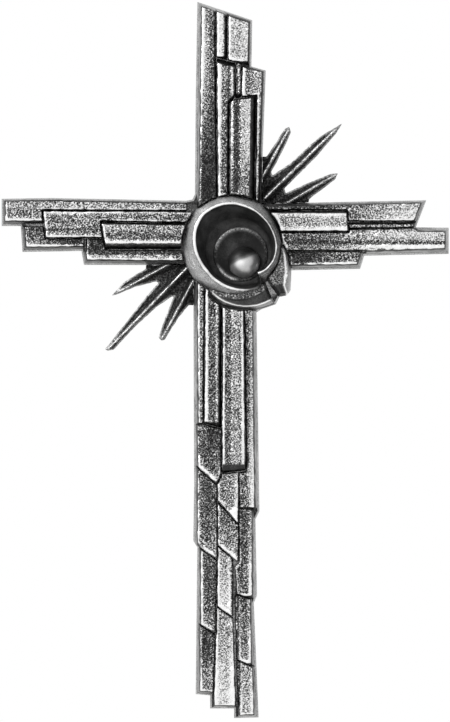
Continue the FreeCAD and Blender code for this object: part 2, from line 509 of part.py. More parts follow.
# ---- the staff socket and its clamp -------------------------------------------------------
def staff_socket():
    """The tube, chamfered round the outside of its mouth and tapped for the clamp's screw."""
    tube = Part.makeCylinder(SOCKET_R, SOCKET_LENGTH)
    mouth = tube.Edges[[round(e.BoundBox.ZMax + e.BoundBox.ZMin, 3) for e in tube.Edges].index(0)]
    tube = tube.makeChamfer(MOUTH_CHAMFER, [mouth])
    bore = Part.makeCylinder(SOCKET_BORE_R, SOCKET_LENGTH + 2 * OVERCUT, V(0, 0, -OVERCUT))
    return tube.cut([bore, rod(0, CLAMP_Z, CLAMP_HOLE_R, SOCKET_R + OVERCUT, 0)])


def socket_cap():
    """The shallow dome brazed on the tube's top, which the staff's end stops against."""
    dome_r = (SOCKET_R ** 2 + CAP_DOME ** 2) / (2 * CAP_DOME)
    lid = Part.makeCylinder(SOCKET_R, CAP_EDGE + CAP_DOME, V(0, 0, SOCKET_LENGTH))
    return lid.common(Part.makeSphere(dome_r, V(0, 0, lid.BoundBox.ZMax - dome_r)))


def socket_bracket():
    """The flange on the plate, with two cradles that the tube is brazed into."""
    half = BRACKET_WIDTH / 2
    flange = Part.makeBox(BRACKET_WIDTH, FLANGE_THICKNESS, BRACKET_HIGH_Z - BRACKET_LOW_Z,
                          V(-half, PLATE_REAR_Y, BRACKET_LOW_Z))
    corners = [edge for edge in flange.Edges
               if abs(edge.Vertexes[0].Y - edge.Vertexes[1].Y) > FLANGE_THICKNESS / 2]
    flange = flange.makeFillet(BRACKET_CORNER_R, corners)
    cradles = [Part.makeBox(2 * CRADLE_HALF_WIDTH, CRADLE_Y - FLANGE_Y, high - low,
                            V(-CRADLE_HALF_WIDTH, FLANGE_Y, low)) for low, high in CRADLE_SPANS]
    tube = Part.makeCylinder(SOCKET_R, SOCKET_LENGTH)
    holes = [screw_hole(x, z, "M5", FLANGE_Y, FLANGE_THICKNESS + OVERCUT) for x, z in BRACKET_SCREWS]
    return flange.fuse(cradles).removeSplitter().cut([tube] + holes)


def clamp_boss():
    """The thick tapped boss on the tube's back, saddled to the tube."""
    boss = rod(0, CLAMP_Z, CLAMP_BOSS_R, CLAMP_BOSS_END, SOCKET_BORE_R)
    tube = Part.makeCylinder(SOCKET_R, SOCKET_LENGTH)
    return boss.cut([tube, rod(0, CLAMP_Z, CLAMP_HOLE_R, CLAMP_BOSS_END + OVERCUT, 0)])


def clamp_pad_front():
    """Y of the pad's working face with the screw backed off: just inside the bore's wall."""
    return SOCKET_BORE_R + CLAMP_BACKED_OFF


def clamp_pad():
    front_y = clamp_pad_front()
    back_y = front_y + CLAMP_PAD_THICKNESS
    stem = rod(0, CLAMP_Z, CLAMP_STEM_R, back_y + CLAMP_STEM_LENGTH, back_y)
    return rod(0, CLAMP_Z, CLAMP_PAD_R, back_y, front_y).fuse(stem).removeSplitter()


def clamp_screw():
    """The knurled thumb screw, hollow at its tip for the pad's stem."""
    tip_y = clamp_pad_front() + CLAMP_PAD_THICKNESS + CLAMP_TIP_GAP
    head_y = CLAMP_BOSS_END + CLAMP_HEAD_GAP
    end_y = head_y + CLAMP_HEAD_HEIGHT
    head = rod(0, CLAMP_Z, CLAMP_HEAD_R, end_y, head_y)
    rims = [edge for edge in head.Edges if abs(edge.Length - 2 * math.pi * CLAMP_HEAD_R) < 0.1]
    head = head.makeChamfer(CLAMP_HEAD_CHAMFER, rims)
    flutes = []
    for k in range(KNURL_COUNT):
        angle = 2 * math.pi * k / KNURL_COUNT
        out = CLAMP_HEAD_R + KNURL_OFFSET
        flutes.append(rod(out * math.cos(angle), CLAMP_Z + out * math.sin(angle), KNURL_R,
                          end_y + OVERCUT, head_y - OVERCUT))
    shank = rod(0, CLAMP_Z, CLAMP_SHANK_R, head_y + OVERCUT, tip_y)
    stem_hole = rod(0, CLAMP_Z, CLAMP_STEM_HOLE_R, tip_y + CLAMP_STEM_LENGTH + CLAMP_STEM_SPARE,
                    tip_y - OVERCUT)
    return head.cut(flutes).fuse(shank).removeSplitter().cut(stem_hole)


# ---- fasteners that share a node ----------------------------------------------------------
def bar_screws(thread):
    return [screw(x, z, thread, PLATE_REAR_Y, PLATE_THICKNESS + BAR_SCREW_BITE - SCREW_SPARE)
            for _, _, _, kind, places, _ in BARS.values() if kind == thread for x, z in places]


def petal_screws():
    return [screw(x, z, "M3", PLATE_REAR_Y, PLATE_THICKNESS + PETAL_SCREW_BITE - SCREW_SPARE)
            for x, z in LOWER_PETAL_SCREWS + RIGHT_PETAL_SCREWS]


def tie_bar_screws():
    return [screw(x, z, "M4", PLATE_REAR_Y + TIE_THICKNESS,
                  TIE_THICKNESS + WEB_THICKNESS - SCREW_SPARE)
            for x, z in TIE_ENDS + TIE_PLATE_SCREWS]


def bracket_screws():
    return [screw(x, z, "M5", FLANGE_Y, FLANGE_THICKNESS + PLATE_THICKNESS - SCREW_SPARE)
            for x, z in BRACKET_SCREWS]


# ---- every node ---------------------------------------------------------------------------
def all_nodes():
    nodes = {"backplate": backplate()}
    nodes.update({name: bar(*sizes) for name, sizes in BARS.items()})
    nodes.update({name: ray_fan(*sizes) for name, sizes in FANS.items()})
    nodes["ray_tie_bar"] = ray_tie_bar()
    nodes["whirl_bowl"] = whirl_bowl()
    nodes["whirl_inner_cup"] = whirl_inner_cup()
    nodes["whirl_boss"] = whirl_boss()
    nodes["whirl_lower_petal"] = petal(*LOWER_PETAL, LOWER_PETAL_SCREWS)
    nodes["whirl_right_petal"] = petal(*RIGHT_PETAL, RIGHT_PETAL_SCREWS)
    nodes["whirl_stud"] = whirl_stud()
    nodes["whirl_washer"] = whirl_washer()
    nodes["whirl_nut"] = whirl_nut()
    nodes["staff_socket"] = staff_socket()
    nodes["socket_cap"] = socket_cap()
    nodes["socket_bracket"] = socket_bracket()
    nodes["clamp_boss"] = clamp_boss()
    nodes["clamp_screw"] = clamp_screw()
    nodes["clamp_pad"] = clamp_pad()
    nodes["bar_screws"] = Part.makeCompound(bar_screws("M3"))
    nodes["slender_bar_screws"] = Part.makeCompound(bar_screws("M2"))
    nodes["petal_screws"] = Part.makeCompound(petal_screws())
    nodes["tie_bar_screws"] = Part.makeCompound(tie_bar_screws())
    nodes["bracket_screws"] = Part.makeCompound(bracket_screws())
    return nodes


def main():
    os.makedirs("parts", exist_ok=True)
    for name, shape in all_nodes().items():
        print(name, "solids", len(shape.Solids), "valid", shape.isValid(),
              "volume", round(shape.Volume, 1))
        shape.exportStep(os.path.join("parts", name + ".step"))


main()
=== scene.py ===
"""The looks of the processional cross: an antiqued relief casting with its staff socket behind.

Lengths inside the classes are millimetres, in the part's own frame: +X to the viewer's right,
+Z up, the relief facing -Y.
"""
import logging
import math
from contextlib import contextmanager
from dataclasses import dataclass
from enum import Enum
from typing import Any, Callable, Iterator, Optional, Sequence

import bpy
import numpy as np
from bpy.types import Material, Node, NodeSocket, NodeTree, Object
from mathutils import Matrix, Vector


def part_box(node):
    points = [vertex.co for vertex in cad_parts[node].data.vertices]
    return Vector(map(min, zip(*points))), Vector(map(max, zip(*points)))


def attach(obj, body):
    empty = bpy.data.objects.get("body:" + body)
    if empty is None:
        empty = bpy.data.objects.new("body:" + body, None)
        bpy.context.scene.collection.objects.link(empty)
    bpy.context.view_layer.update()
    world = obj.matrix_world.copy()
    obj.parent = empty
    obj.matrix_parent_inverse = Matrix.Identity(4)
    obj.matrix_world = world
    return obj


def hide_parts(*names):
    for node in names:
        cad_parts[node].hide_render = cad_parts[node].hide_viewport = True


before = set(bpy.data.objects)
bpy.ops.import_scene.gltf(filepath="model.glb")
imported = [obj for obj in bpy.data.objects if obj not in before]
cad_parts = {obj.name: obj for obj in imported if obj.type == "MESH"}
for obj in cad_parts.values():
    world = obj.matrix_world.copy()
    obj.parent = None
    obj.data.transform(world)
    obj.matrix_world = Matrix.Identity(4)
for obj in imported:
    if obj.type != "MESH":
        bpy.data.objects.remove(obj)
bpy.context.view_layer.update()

log = logging.getLogger("cross")

MM = 0.001
Point = tuple[float, float]
Span = tuple[float, float]
Triple = tuple[float, float, float]
Array = np.ndarray

MERGE_GAP = 0.005  # corners closer than this are one corner
FLAT_WITHIN = 0.5  # degrees between the facets of one flat
SQUARE_ON = 0.94  # a face whose normal has this much of Y is part of the front or the rear
BAR_VOXEL = 0.5
FINE_VOXEL = 0.42
PIT_GRAIN = 0.95  # the pits' size on bars, rays and petals
WALL_TONE = 0.58  # the outer walls, which are rubbed an even grey


class Lay(Enum):
    """The way a bar is laid: the mesh coordinates along and across it, then the painted light and
    shade on its walls.
    """
    # the walls' tones are painted light and shade: a wall that faces left or down is lighter than
    # one that faces right or up
    UPRIGHT = (2, 0, (0.5, 0.08))
    LEVEL = (0, 2, (0.16, 0.08))

    def __init__(self, along: int, across: int, walls: Span) -> None:
        """Names the parts of a member's value."""
        self.along, self.across, self.walls = along, across, walls


UPRIGHT, LEVEL = Lay


# ---- meshes ----
def activate(obj: Object) -> None:
    """Makes one object the only selected one and the active one."""
    bpy.ops.object.select_all(action="DESELECT")
    obj.select_set(True)
    bpy.context.view_layer.objects.active = obj


@contextmanager
def editing() -> Iterator[None]:
    """Holds the active object in edit mode, with all of it selected at first."""
    bpy.ops.object.mode_set(mode="EDIT")
    bpy.ops.mesh.select_all(action="SELECT")
    yield
    bpy.ops.object.mode_set(mode="OBJECT")


def copy_of_node(node: str, name: str) -> Object:
    """Copies a CAD node's mesh into a new object, with its corners merged and its flats whole.

    Args:
        node: The CAD node's name.
        name: The new object's name.

    Returns:
        The new object.
    """
    obj = bpy.data.objects.new(name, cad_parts[node].data.copy())
    bpy.context.scene.collection.objects.link(obj)
    obj.data.materials.clear()
    activate(obj)
    with editing():
        bpy.ops.mesh.remove_doubles(threshold=MERGE_GAP * MM)
        bpy.ops.mesh.dissolve_limited(angle_limit=math.radians(FLAT_WITHIN))
    return obj


def apply_modifier(obj: Object, kind: str, **settings: Any) -> None:
    """Adds a modifier with its settings and applies it.

    Args:
        obj: The object to change.
        kind: The modifier's type.
        settings: The modifier's properties.
    """
    activate(obj)
    modifier = obj.modifiers.new(kind.title(), kind)
    for key, value in settings.items():
        setattr(modifier, key, value)
    bpy.ops.object.modifier_apply(modifier=modifier.name)


def refine(obj: Object, voxel: float, passes: int) -> None:
    """Gives a form an even mesh of voxels, in millimetres, and smooths it in some passes."""
    apply_modifier(obj, "REMESH", mode="VOXEL", voxel_size=voxel * MM, use_smooth_shade=True)
    apply_modifier(obj, "SMOOTH", factor=0.5, iterations=passes)


def points(obj: Object) -> Array:
    """The object's vertices, in millimetres, one row each."""
    flat = np.empty(len(obj.data.vertices) * 3, np.float32)
    obj.data.vertices.foreach_get("co", flat)
    return flat.reshape(-1, 3).astype(float) / MM


def place(obj: Object, rows: Array) -> None:
    """Moves the object's vertices to rows of millimetres."""
    obj.data.vertices.foreach_set("co", (rows * MM).astype(np.float32).ravel())
    obj.data.update()


def normals(obj: Object) -> Array:
    """The object's vertex normals, one row each."""
    flat = np.empty(len(obj.data.vertices) * 3, np.float32)
    obj.data.vertex_normals.foreach_get("vector", flat)
    return flat.reshape(-1, 3).astype(float)


def nearest_on(rows: Array, segments: Array) -> tuple[Array, Array]:
    """Finds the nearest of some segments in the XZ plane to each row.

    Args:
        rows: Points in millimetres.
        segments: One row of x0, z0, x1, z1 for each segment.

    Returns:
        The distance from each point, and the way to the segment as x and z.
    """
    flat = rows[:, [0, 2]]
    nearest = np.full(len(flat), 1e9)
    way = np.zeros_like(flat)
    for x0, z0, x1, z1 in segments:
        start, run = np.array([x0, z0]), np.array([x1 - x0, z1 - z0])
        share = np.clip((flat - start) @ run / (run @ run), 0, 1)
        gap = start + share[:, None] * run - flat
        length = np.linalg.norm(gap, axis=1)
        closer = length < nearest
        nearest[closer], way[closer] = length[closer], gap[closer]
    return nearest, way / np.maximum(nearest, 1e-6)[:, None]


def distance_to(rows: Array, segments: Array) -> Array:
    """The distance in the XZ plane from each row to the nearest of some segments."""
    return nearest_on(rows, segments)[0]


def face_outline(obj: Object, towards: float, shortest: float) -> Array:
    """The edges round the flat faces that look along Y.

    Args:
        obj: The object, with its flats whole.
        towards: 1 for the faces that look to the rear, -1 for the front.
        shortest: Edges shorter than this, such as those round screw holes, are left out.

    Returns:
        One row of x0, z0, x1, z1 for each edge, in millimetres.
    """
    sides: dict[tuple[int, int], list[bool]] = {}
    for face in obj.data.polygons:
        for key in face.edge_keys:
            sides.setdefault(key, []).append(face.normal.y * towards > SQUARE_ON)
    rows = points(obj)
    found = []
    for (a, b), flat in sides.items():
        if len(flat) == 2 and flat[0] != flat[1]:
            edge = [rows[a][0], rows[a][2], rows[b][0], rows[b][2]]
            if math.hypot(edge[2] - edge[0], edge[3] - edge[1]) > shortest:
                found.append(edge)
    return np.array(found)


def smoothstep(values: Array, low: float, high: float) -> Array:
    """A soft step from 0 at low to 1 at high."""
    share = np.clip((values - low) / (high - low), 0, 1)
    return share * share * (3 - 2 * share)


def bell(values: Array, at: Any, width: Any) -> Array:
    """A soft bump of 1 where the values pass at, fading away over width on both sides."""
    return np.exp(-((values - at) / width) ** 2)


def above(floor: float, share: Array) -> Array:
    """Runs from floor, where share is 0, to 1, where share is 1."""
    return floor + (1 - floor) * share


def keep_values(obj: Object, **values: Array) -> None:
    """Stores one value for each vertex under each name, for the materials to read."""
    for name, numbers in values.items():
        attribute = obj.data.attributes.get(name) or obj.data.attributes.new(
            name, "FLOAT", "POINT")
        attribute.data.foreach_set("value", np.asarray(numbers, np.float32))


def smooth_shading(obj: Object, angle: float) -> None:
    """Shades the object smooth, except over edges sharper than angle, in degrees."""
    activate(obj)
    bpy.ops.object.shade_smooth_by_angle(angle=math.radians(angle))


def roughen(obj: Object, grain: float, depth: float, weights: Array) -> Array:
    """Pits and swells the surface as a sand casting's is.

    Args:
        obj: The object to change.
        grain: The pattern's size in millimetres.
        depth: How far it goes in and out, in millimetres.
        weights: How much of it each vertex takes, from 0 to 1.

    Returns:
        How far each vertex moved outwards, as a share of depth.
    """
    levels = 5
    group = obj.vertex_groups.new(name="rough")
    steps = np.rint(weights * levels).astype(int)
    for step in range(1, levels + 1):
        group.add(np.nonzero(steps == step)[0].tolist(), step / levels, "REPLACE")
    texture = bpy.data.textures.new("grain", "CLOUDS")
    texture.noise_scale, texture.noise_depth = grain * MM, 1
    before, outwards = points(obj), normals(obj)
    apply_modifier(obj, "DISPLACE", texture=texture, texture_coords="LOCAL", mid_level=0.5,
                   strength=2 * depth * MM, vertex_group=group.name)
    moved = np.einsum("ij,ij->i", points(obj) - before, outwards) / depth
    obj.vertex_groups.clear()
    return moved


# ---- finishes ----
def linear(code: str) -> tuple[float, float, float, float]:
    """The linear colour of an sRGB hex code such as "a0a0a0"."""
    parts = [int(code[i:i + 2], 16) / 255 for i in (0, 2, 4)]
    parts = [p / 12.92 if p <= 0.04045 else ((p + 0.055) / 1.055) ** 2.4 for p in parts]
    return (parts[0], parts[1], parts[2], 1.0)


def add_node(tree: NodeTree, kind: str, links: Optional[dict] = None,
             values: Optional[dict] = None, **settings: Any) -> Node:
    """Adds one shader node.

    Args:
        tree: The node tree.
        kind: The node's type.
        links: Output sockets to link to its inputs, by the input's name or number.
        values: Values to set on its inputs, by name or number.
        settings: The node's own properties.

    Returns:
        The node.
    """
    node = tree.nodes.new(kind)
    for key, value in settings.items():
        setattr(node, key, value)
    for key, value in (values or {}).items():
        node.inputs[key].default_value = value
    for key, socket in (links or {}).items():
        tree.links.new(socket, node.inputs[key])
    return node


def new_material(name: str) -> tuple[Material, NodeTree,
                                     Node, NodeSocket]:
    """A material with its tree, its principled shader and the object coordinates."""
    material = bpy.data.materials.new(name)
    material.use_nodes = True
    tree = material.node_tree
    shader = next(n for n in tree.nodes if n.type == "BSDF_PRINCIPLED")
    where = add_node(tree, "ShaderNodeTexCoord").outputs["Object"]
    return material, tree, shader, where


def noise(tree: NodeTree, where: NodeSocket, size: float, detail: float,
          **values: float) -> NodeSocket:
    """A noise pattern of a size in millimetres."""
    return add_node(tree, "ShaderNodeTexNoise", {"Vector": where},
                    {"Scale": 1 / (size * MM), "Detail": detail, **values}).outputs["Fac"]


def raise_by(tree: NodeTree, shader: Node, pattern: NodeSocket,
             strength: float, depth: float) -> None:
    """Lets a pattern raise the surface by a depth in millimetres."""
    bump = add_node(tree, "ShaderNodeBump", {"Height": pattern},
                    {"Strength": strength, "Distance": depth * MM})
    tree.links.new(bump.outputs["Normal"], shader.inputs["Normal"])


def colour_by(tree: NodeTree, shader: Node, value: NodeSocket, *stops: tuple[float, str]) -> None:
    """Colours the surface by a value, through stops that each have a place and a hex code."""
    ramp = add_node(tree, "ShaderNodeValToRGB", {"Fac": value})
    elements = ramp.color_ramp.elements
    while len(elements) < len(stops):
        elements.new(0.5)
    for element, (at, code) in zip(elements, stops):
        element.position, element.color = at, linear(code)
    tree.links.new(ramp.outputs["Color"], shader.inputs["Base Color"])


def gloss_by(tree: NodeTree, shader: Node, value: NodeSocket, low: float, high: float) -> None:
    """Makes the surface's roughness run from low to high as a value runs from 0 to 1."""
    gloss = add_node(tree, "ShaderNodeMapRange", {"Value": value}, {"To Min": low, "To Max": high})
    tree.links.new(gloss.outputs["Result"], shader.inputs["Roughness"])


def multiply_add(tree: NodeTree, *terms: Any) -> NodeSocket:
    """The first term times the second, plus the third: each one a socket or a number."""
    numbers = {key: term for key, term in enumerate(terms) if isinstance(term, float)}
    sockets = {key: term for key, term in enumerate(terms) if key not in numbers}
    return add_node(tree, "ShaderNodeMath", sockets, numbers,
                    operation="MULTIPLY_ADD").outputs[0]


@dataclass(frozen=True)
class AntiquedCasting:
    """Sand-cast white metal, blackened all over and rubbed back on what stands proud.

    The eye gets bright worn ridges and grains over nearly black pits and grooves. The shade of
    each place, its patina and rubbing with painted light and shade laid on, is the vertex value
    "tone", and "stipple" says how grainy it is.
    """
    name: str
    patina: str = "1c1c1c"
    worn: str = "6e6e6e"
    bare: str = "efefef"
    worn_at: float = 0.45
    grain_mm: float = 0.8
    grain_depth: float = 0.12
    grain_bump: float = 0.35
    contrast: float = 3.4
    pit_share: float = 0.45
    cloud_mm: float = 9.0
    drift: float = 0.3
    rough: float = 0.36
    patina_rough: float = 0.2
    metallic: float = 0.85

    def build(self) -> Material:
        """Makes the material."""
        material, tree, shader, where = new_material(self.name)
        tone, stipple, pit = (
            add_node(tree, "ShaderNodeAttribute", attribute_name=name).outputs["Fac"]
            for name in ("tone", "stipple", "pit"))
        grain = noise(tree, where, self.grain_mm, 1.0, Roughness=0.6)
        cloud = noise(tree, where, self.cloud_mm, 2.0)
        speck = multiply_add(tree, grain, 2 * self.contrast, -self.contrast)
        both = multiply_add(tree, pit, self.pit_share, speck)
        grained = multiply_add(tree, both, stipple, tone)
        drift = multiply_add(tree, cloud, self.drift, -self.drift / 2)
        shade = add_node(tree, "ShaderNodeMath", {0: grained, 1: drift}, operation="ADD",
                         use_clamp=True)
        colour_by(tree, shader, shade.outputs[0], (0.0, self.patina), (self.worn_at, self.worn),
                  (1.0, self.bare))
        gloss_by(tree, shader, shade.outputs[0], self.rough + self.patina_rough, self.rough)
        raise_by(tree, shader, grain, self.grain_bump, self.grain_depth)
        shader.inputs["Metallic"].default_value = self.metallic
        return material


@dataclass(frozen=True)
class DrawnSteel:
    """Bright drawn or zinc-plated steel with fine lines left along one way by its making."""
    name: str
    base: str = "a9aaab"
    shadow: str = "6d6e70"
    ramp: Span = (0.45, 0.85)
    line_mm: float = 0.4
    line_depth: float = 0.03
    line_bump: float = 0.2
    stain_mm: float = 16.0
    stain_share: float = 0.5
    stretch: Triple = (1.0, 1.0, 0.03)
    rough: Span = (0.2, 0.4)

    def build(self) -> Material:
        """Makes the material."""
        material, tree, shader, where = new_material(self.name)
        along = add_node(tree, "ShaderNodeMapping", {"Vector": where}, {"Scale": self.stretch})
        lines = noise(tree, along.outputs["Vector"], self.line_mm, 3.0)
        stain = noise(tree, where, self.stain_mm, 3.0)
        mixed = multiply_add(tree, stain, self.stain_share, lines)
        colour_by(tree, shader, mixed, (self.ramp[0], self.shadow), (self.ramp[1], self.base))
        gloss_by(tree, shader, lines, *self.rough)
        raise_by(tree, shader, lines, self.line_bump, self.line_depth)
        shader.inputs["Metallic"].default_value = 1.0
        return material


@dataclass(frozen=True)
class StudioFloor:
    """Matt painted board, nearly white, with the faintest roller texture."""
    name: str = "painted_board"
    tint: str = "e9e9e8"
    roller_mm: float = 3.0
    roller_depth: float = 0.1
    roller_bump: float = 0.1
    rough: float = 0.8

    def build(self) -> Material:
        """Makes the material."""
        material, tree, shader, where = new_material(self.name)
        roller = noise(tree, where, self.roller_mm, 2.0)
        raise_by(tree, shader, roller, self.roller_bump, self.roller_depth)
        shader.inputs["Base Color"].default_value = linear(self.tint)
        shader.inputs["Roughness"].default_value = self.rough
        return material


# ---- shared by the castings ----
PLATE_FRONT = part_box("backplate")[0].y / MM
PLATE_SHORTEST = 2.4  # the plate's outer edges are longer than this, those round holes shorter


@dataclass
class Castings:
    """What every cast piece shares: the cross's edge and the materials."""
    edge: Array
    bars: Material
    rays: Material
    whirl: Material
    boss: Material
    plate: Material


@dataclass(frozen=True)
class WearAndPaintedLight:
    """How every bar takes its patina, its rubbing and its painted light and shade: lengths in
    millimetres, tones 0 to 1.
    """
    face: Span = (0.72, 0.93)  # a normal's share of -Y, from walls to faces
    rough_from: float = 1.5  # in front of the plate
    swell_grain: float = 4.5
    pit_depth: float = 0.14
    wall_pits: float = 0.15
    toe_drop: float = 0.45  # of the bar's height
    toe_spread: float = 1.3
    toe_shows: Span = (0.12, 0.35)
    toe_tone: float = 0.14
    toe_plain: float = 0.6  # the share of its stipple that a toe loses
    speck_lift: float = 0.15  # what specks add to a middling tone's brightness
    outer_wall: Span = (3.1, 3.9)  # from the cross's edge
    outer_rim: Span = (2.2, 2.8)
    outer_plain: float = 0.8
    wall_stipple: float = 0.12
    flat_stipple: float = 0.35  # where a tone is nearly black or white
    edge_shadow_line: Triple = (0.5, 0.25, 0.45)  # a painted shadow line on the outer wall just under the face's edge: its dark, place and width
    # painted highlight: the edges on this side of a face, the lower left, are lit brightest
    lit_edge_side: Span = (-0.85, -0.5)
    edge_width: float = 0.55
    slant_width: float = 0.65
    edge_inset: float = 0.8  # of the width
    groove_foot: float = 0.03
    groove_side: float = 0.06
    groove_climb: Span = (0.3, 0.85)
    side_turn: Span = (0.1, 0.7)


WEAR_AND_PAINTED_LIGHT = WearAndPaintedLight()


def settle(obj: Object, node: str, material: Material) -> None:
    """Gives a finished piece its material, puts it under the cross's body and lets it stand for
    its node.
    """
    obj.data.materials.clear()
    obj.data.materials.append(material)
    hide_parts(node)
    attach(obj, "cross")
    log.info("%s: %d faces", obj.name, len(obj.data.polygons))


# Where across the bar (0 left or bottom, 1 right or top), its rise in millimetres, its tone:
# patina and rubbing, with painted light and shade on the slopes.
Crease = Triple


@dataclass
class Bar:
    """One cast bar, creased and rubbed along its length."""
    node: str
    lay: Lay
    creases: Sequence[Crease]
    low: float = 1.0  # multiplies the tones at the low end
    high: float = 1.0  # and at the high end
    turn: float = 0.5  # where along the bar the one passes into the other
    soft_turn: float = 0.3
    stipple: float = 0.55
    toe: float = 0.0  # the length of the slope at its lower end
    walls: Optional[Span] = None  # the painted light and shade on its low and high sides, if not those of its lay
    wall: float = WALL_TONE  # where it is part of the cross's outer wall
    burnish_and_highlight: float = 0.75  # how brightly its edges are rubbed and lit by the painted highlight
    wander: float = 0.55  # how far its face swells in and out

    def build(self, castings: Castings) -> None:
        """Makes the bar's mesh and its look."""
        obj = copy_of_node(self.node, "cast_" + self.node)
        top = face_outline(obj, -1, 0.0)
        refine(obj, BAR_VOXEL, 2)
        self.crease(obj)
        self.rub(obj, top, castings)
        settle(obj, self.node, castings.bars)

    def height(self) -> float:
        """How far the bar stands in front of the plate, in millimetres."""
        return PLATE_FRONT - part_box(self.node)[0].y / MM

    def shares(self, rows: Array) -> tuple[Array, Array]:
        """Where each point is along and across the bar, from 0 to 1."""
        low, high = (np.array(corner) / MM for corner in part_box(self.node))
        return tuple((rows[:, axis] - low[axis]) / (high[axis] - low[axis])
                     for axis in (self.lay.along, self.lay.across))

    def crease(self, obj: Object) -> None:
        """Lifts and sinks the bar's face along its creases, with its walls following."""
        rows = points(obj)
        _, across = self.shares(rows)
        where, rises, _ = zip(*self.creases)
        drop = WEAR_AND_PAINTED_LIGHT.toe_drop * self.height() * self.past_toe(rows)
        rise = np.interp(across, where, rises) - drop
        standing = np.clip(PLATE_FRONT - rows[:, 1], 0, None)
        rows[:, 1] -= rise * standing / self.height()
        place(obj, rows)

    def past_toe(self, rows: Array) -> Array:
        """How far down the sloping lower end each point is, from 0 to 1."""
        if not self.toe:
            return np.zeros(len(rows))
        axis = self.lay.along
        from_end = rows[:, axis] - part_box(self.node)[0][axis] / MM
        return 1 - smoothstep(from_end, 0.0, self.toe + WEAR_AND_PAINTED_LIGHT.toe_spread)

    def rub(self, obj: Object, top: Array, castings: Castings) -> None:
        """Roughens the face and works out how bright each place is, painted light and shade
        included.
        """
        rows = points(obj)
        flat = smoothstep(-normals(obj)[:, 1], *WEAR_AND_PAINTED_LIGHT.face)
        front = np.where(rows[:, 1] < PLATE_FRONT - WEAR_AND_PAINTED_LIGHT.rough_from, 1.0, 0.0)
        swell = roughen(obj, WEAR_AND_PAINTED_LIGHT.swell_grain, self.wander, front)
        pit = roughen(obj, PIT_GRAIN, WEAR_AND_PAINTED_LIGHT.pit_depth, front * above(WEAR_AND_PAINTED_LIGHT.wall_pits, flat))
        toe = smoothstep(self.past_toe(rows), *WEAR_AND_PAINTED_LIGHT.toe_shows)
        from_edge, way = nearest_on(rows, top)
        tone = self.face_tone(rows) + self.edge_wear_and_highlight(from_edge, way, swell)
        tone = tone * (1 - toe) + WEAR_AND_PAINTED_LIGHT.toe_tone * toe
        side = self.groove_tone(obj, rows)
        tone = tone * flat + side * (1 - flat)
        middling = 4 * np.clip(tone, 0, 1) * (1 - np.clip(tone, 0, 1))
        tone -= WEAR_AND_PAINTED_LIGHT.speck_lift * middling * flat
        from_rim = distance_to(rows, castings.edge)
        wall = 1 - smoothstep(from_rim, *WEAR_AND_PAINTED_LIGHT.outer_wall)
        wall *= np.maximum(1 - flat, 1 - smoothstep(from_rim, *WEAR_AND_PAINTED_LIGHT.outer_rim))
        # a painted shadow line on the outer wall, just under the face's edge
        dark, place_at, width = WEAR_AND_PAINTED_LIGHT.edge_shadow_line
        tone = tone * (1 - wall) + (self.wall - dark * bell(from_edge, place_at, width)) * wall
        stippled = np.maximum(flat, 0.9 * side * (1 - wall))
        stipple = self.stipple * above(WEAR_AND_PAINTED_LIGHT.wall_stipple, stippled)
        stipple *= above(WEAR_AND_PAINTED_LIGHT.flat_stipple, middling)
        stipple *= (1 - WEAR_AND_PAINTED_LIGHT.toe_plain * toe) * (1 - WEAR_AND_PAINTED_LIGHT.outer_plain * wall)
        keep_values(obj, tone=tone, stipple=stipple, pit=pit)

    def face_tone(self, rows: Array) -> Array:
        """How bright the creases leave each place, from the bar's low end to its high end."""
        along, across = self.shares(rows)
        where, _, tones = zip(*self.creases)
        share = smoothstep(along, self.turn - self.soft_turn, self.turn + self.soft_turn)
        return np.interp(across, where, tones) * (self.low + (self.high - self.low) * share)

    def edge_wear_and_highlight(self, from_edge: Array, way: Array, swell: Array) -> Array:
        """How much a face's edges are rubbed bright, unevenly, with a painted highlight that is
        strongest at the lower left.

        Args:
            from_edge: The distance from each point to the face's edge.
            way: The way from each point to the edge.
            swell: How far the casting stands out at each point.

        Returns:
            What the wear and the painted highlight add to each point's tone.
        """
        slanting = np.clip(2 * way[:, 0] * way[:, 1], 0, 1) * (way[:, 0] < 0)
        width = WEAR_AND_PAINTED_LIGHT.edge_width + WEAR_AND_PAINTED_LIGHT.slant_width * slanting
        # painted highlight: the rubbed edges towards the lower left are lit brightest
        worn = above(0.1, smoothstep(way @ np.array(WEAR_AND_PAINTED_LIGHT.lit_edge_side), -0.3, 0.6))
        uneven = np.clip(0.75 + 0.9 * swell, 0, 1.2)
        return self.burnish_and_highlight * worn * uneven * bell(from_edge, WEAR_AND_PAINTED_LIGHT.edge_inset * width, width)

    def groove_tone(self, obj: Object, rows: Array) -> Array:
        """How bright the walls between bars are: each side has its own painted light and shade by
        the way it faces, dark at the foot.
        """
        low_side, high_side = self.walls or self.lay.walls
        out = normals(obj)[:, self.lay.across]
        climb = smoothstep((PLATE_FRONT - rows[:, 1]) / self.height(), *WEAR_AND_PAINTED_LIGHT.groove_climb)
        # painted light and shade: each wall takes its side's tone by the way it faces
        lit = (low_side * smoothstep(-out, *WEAR_AND_PAINTED_LIGHT.side_turn)
               + high_side * smoothstep(out, *WEAR_AND_PAINTED_LIGHT.side_turn))
        return WEAR_AND_PAINTED_LIGHT.groove_foot + (WEAR_AND_PAINTED_LIGHT.groove_side + lit) * climb


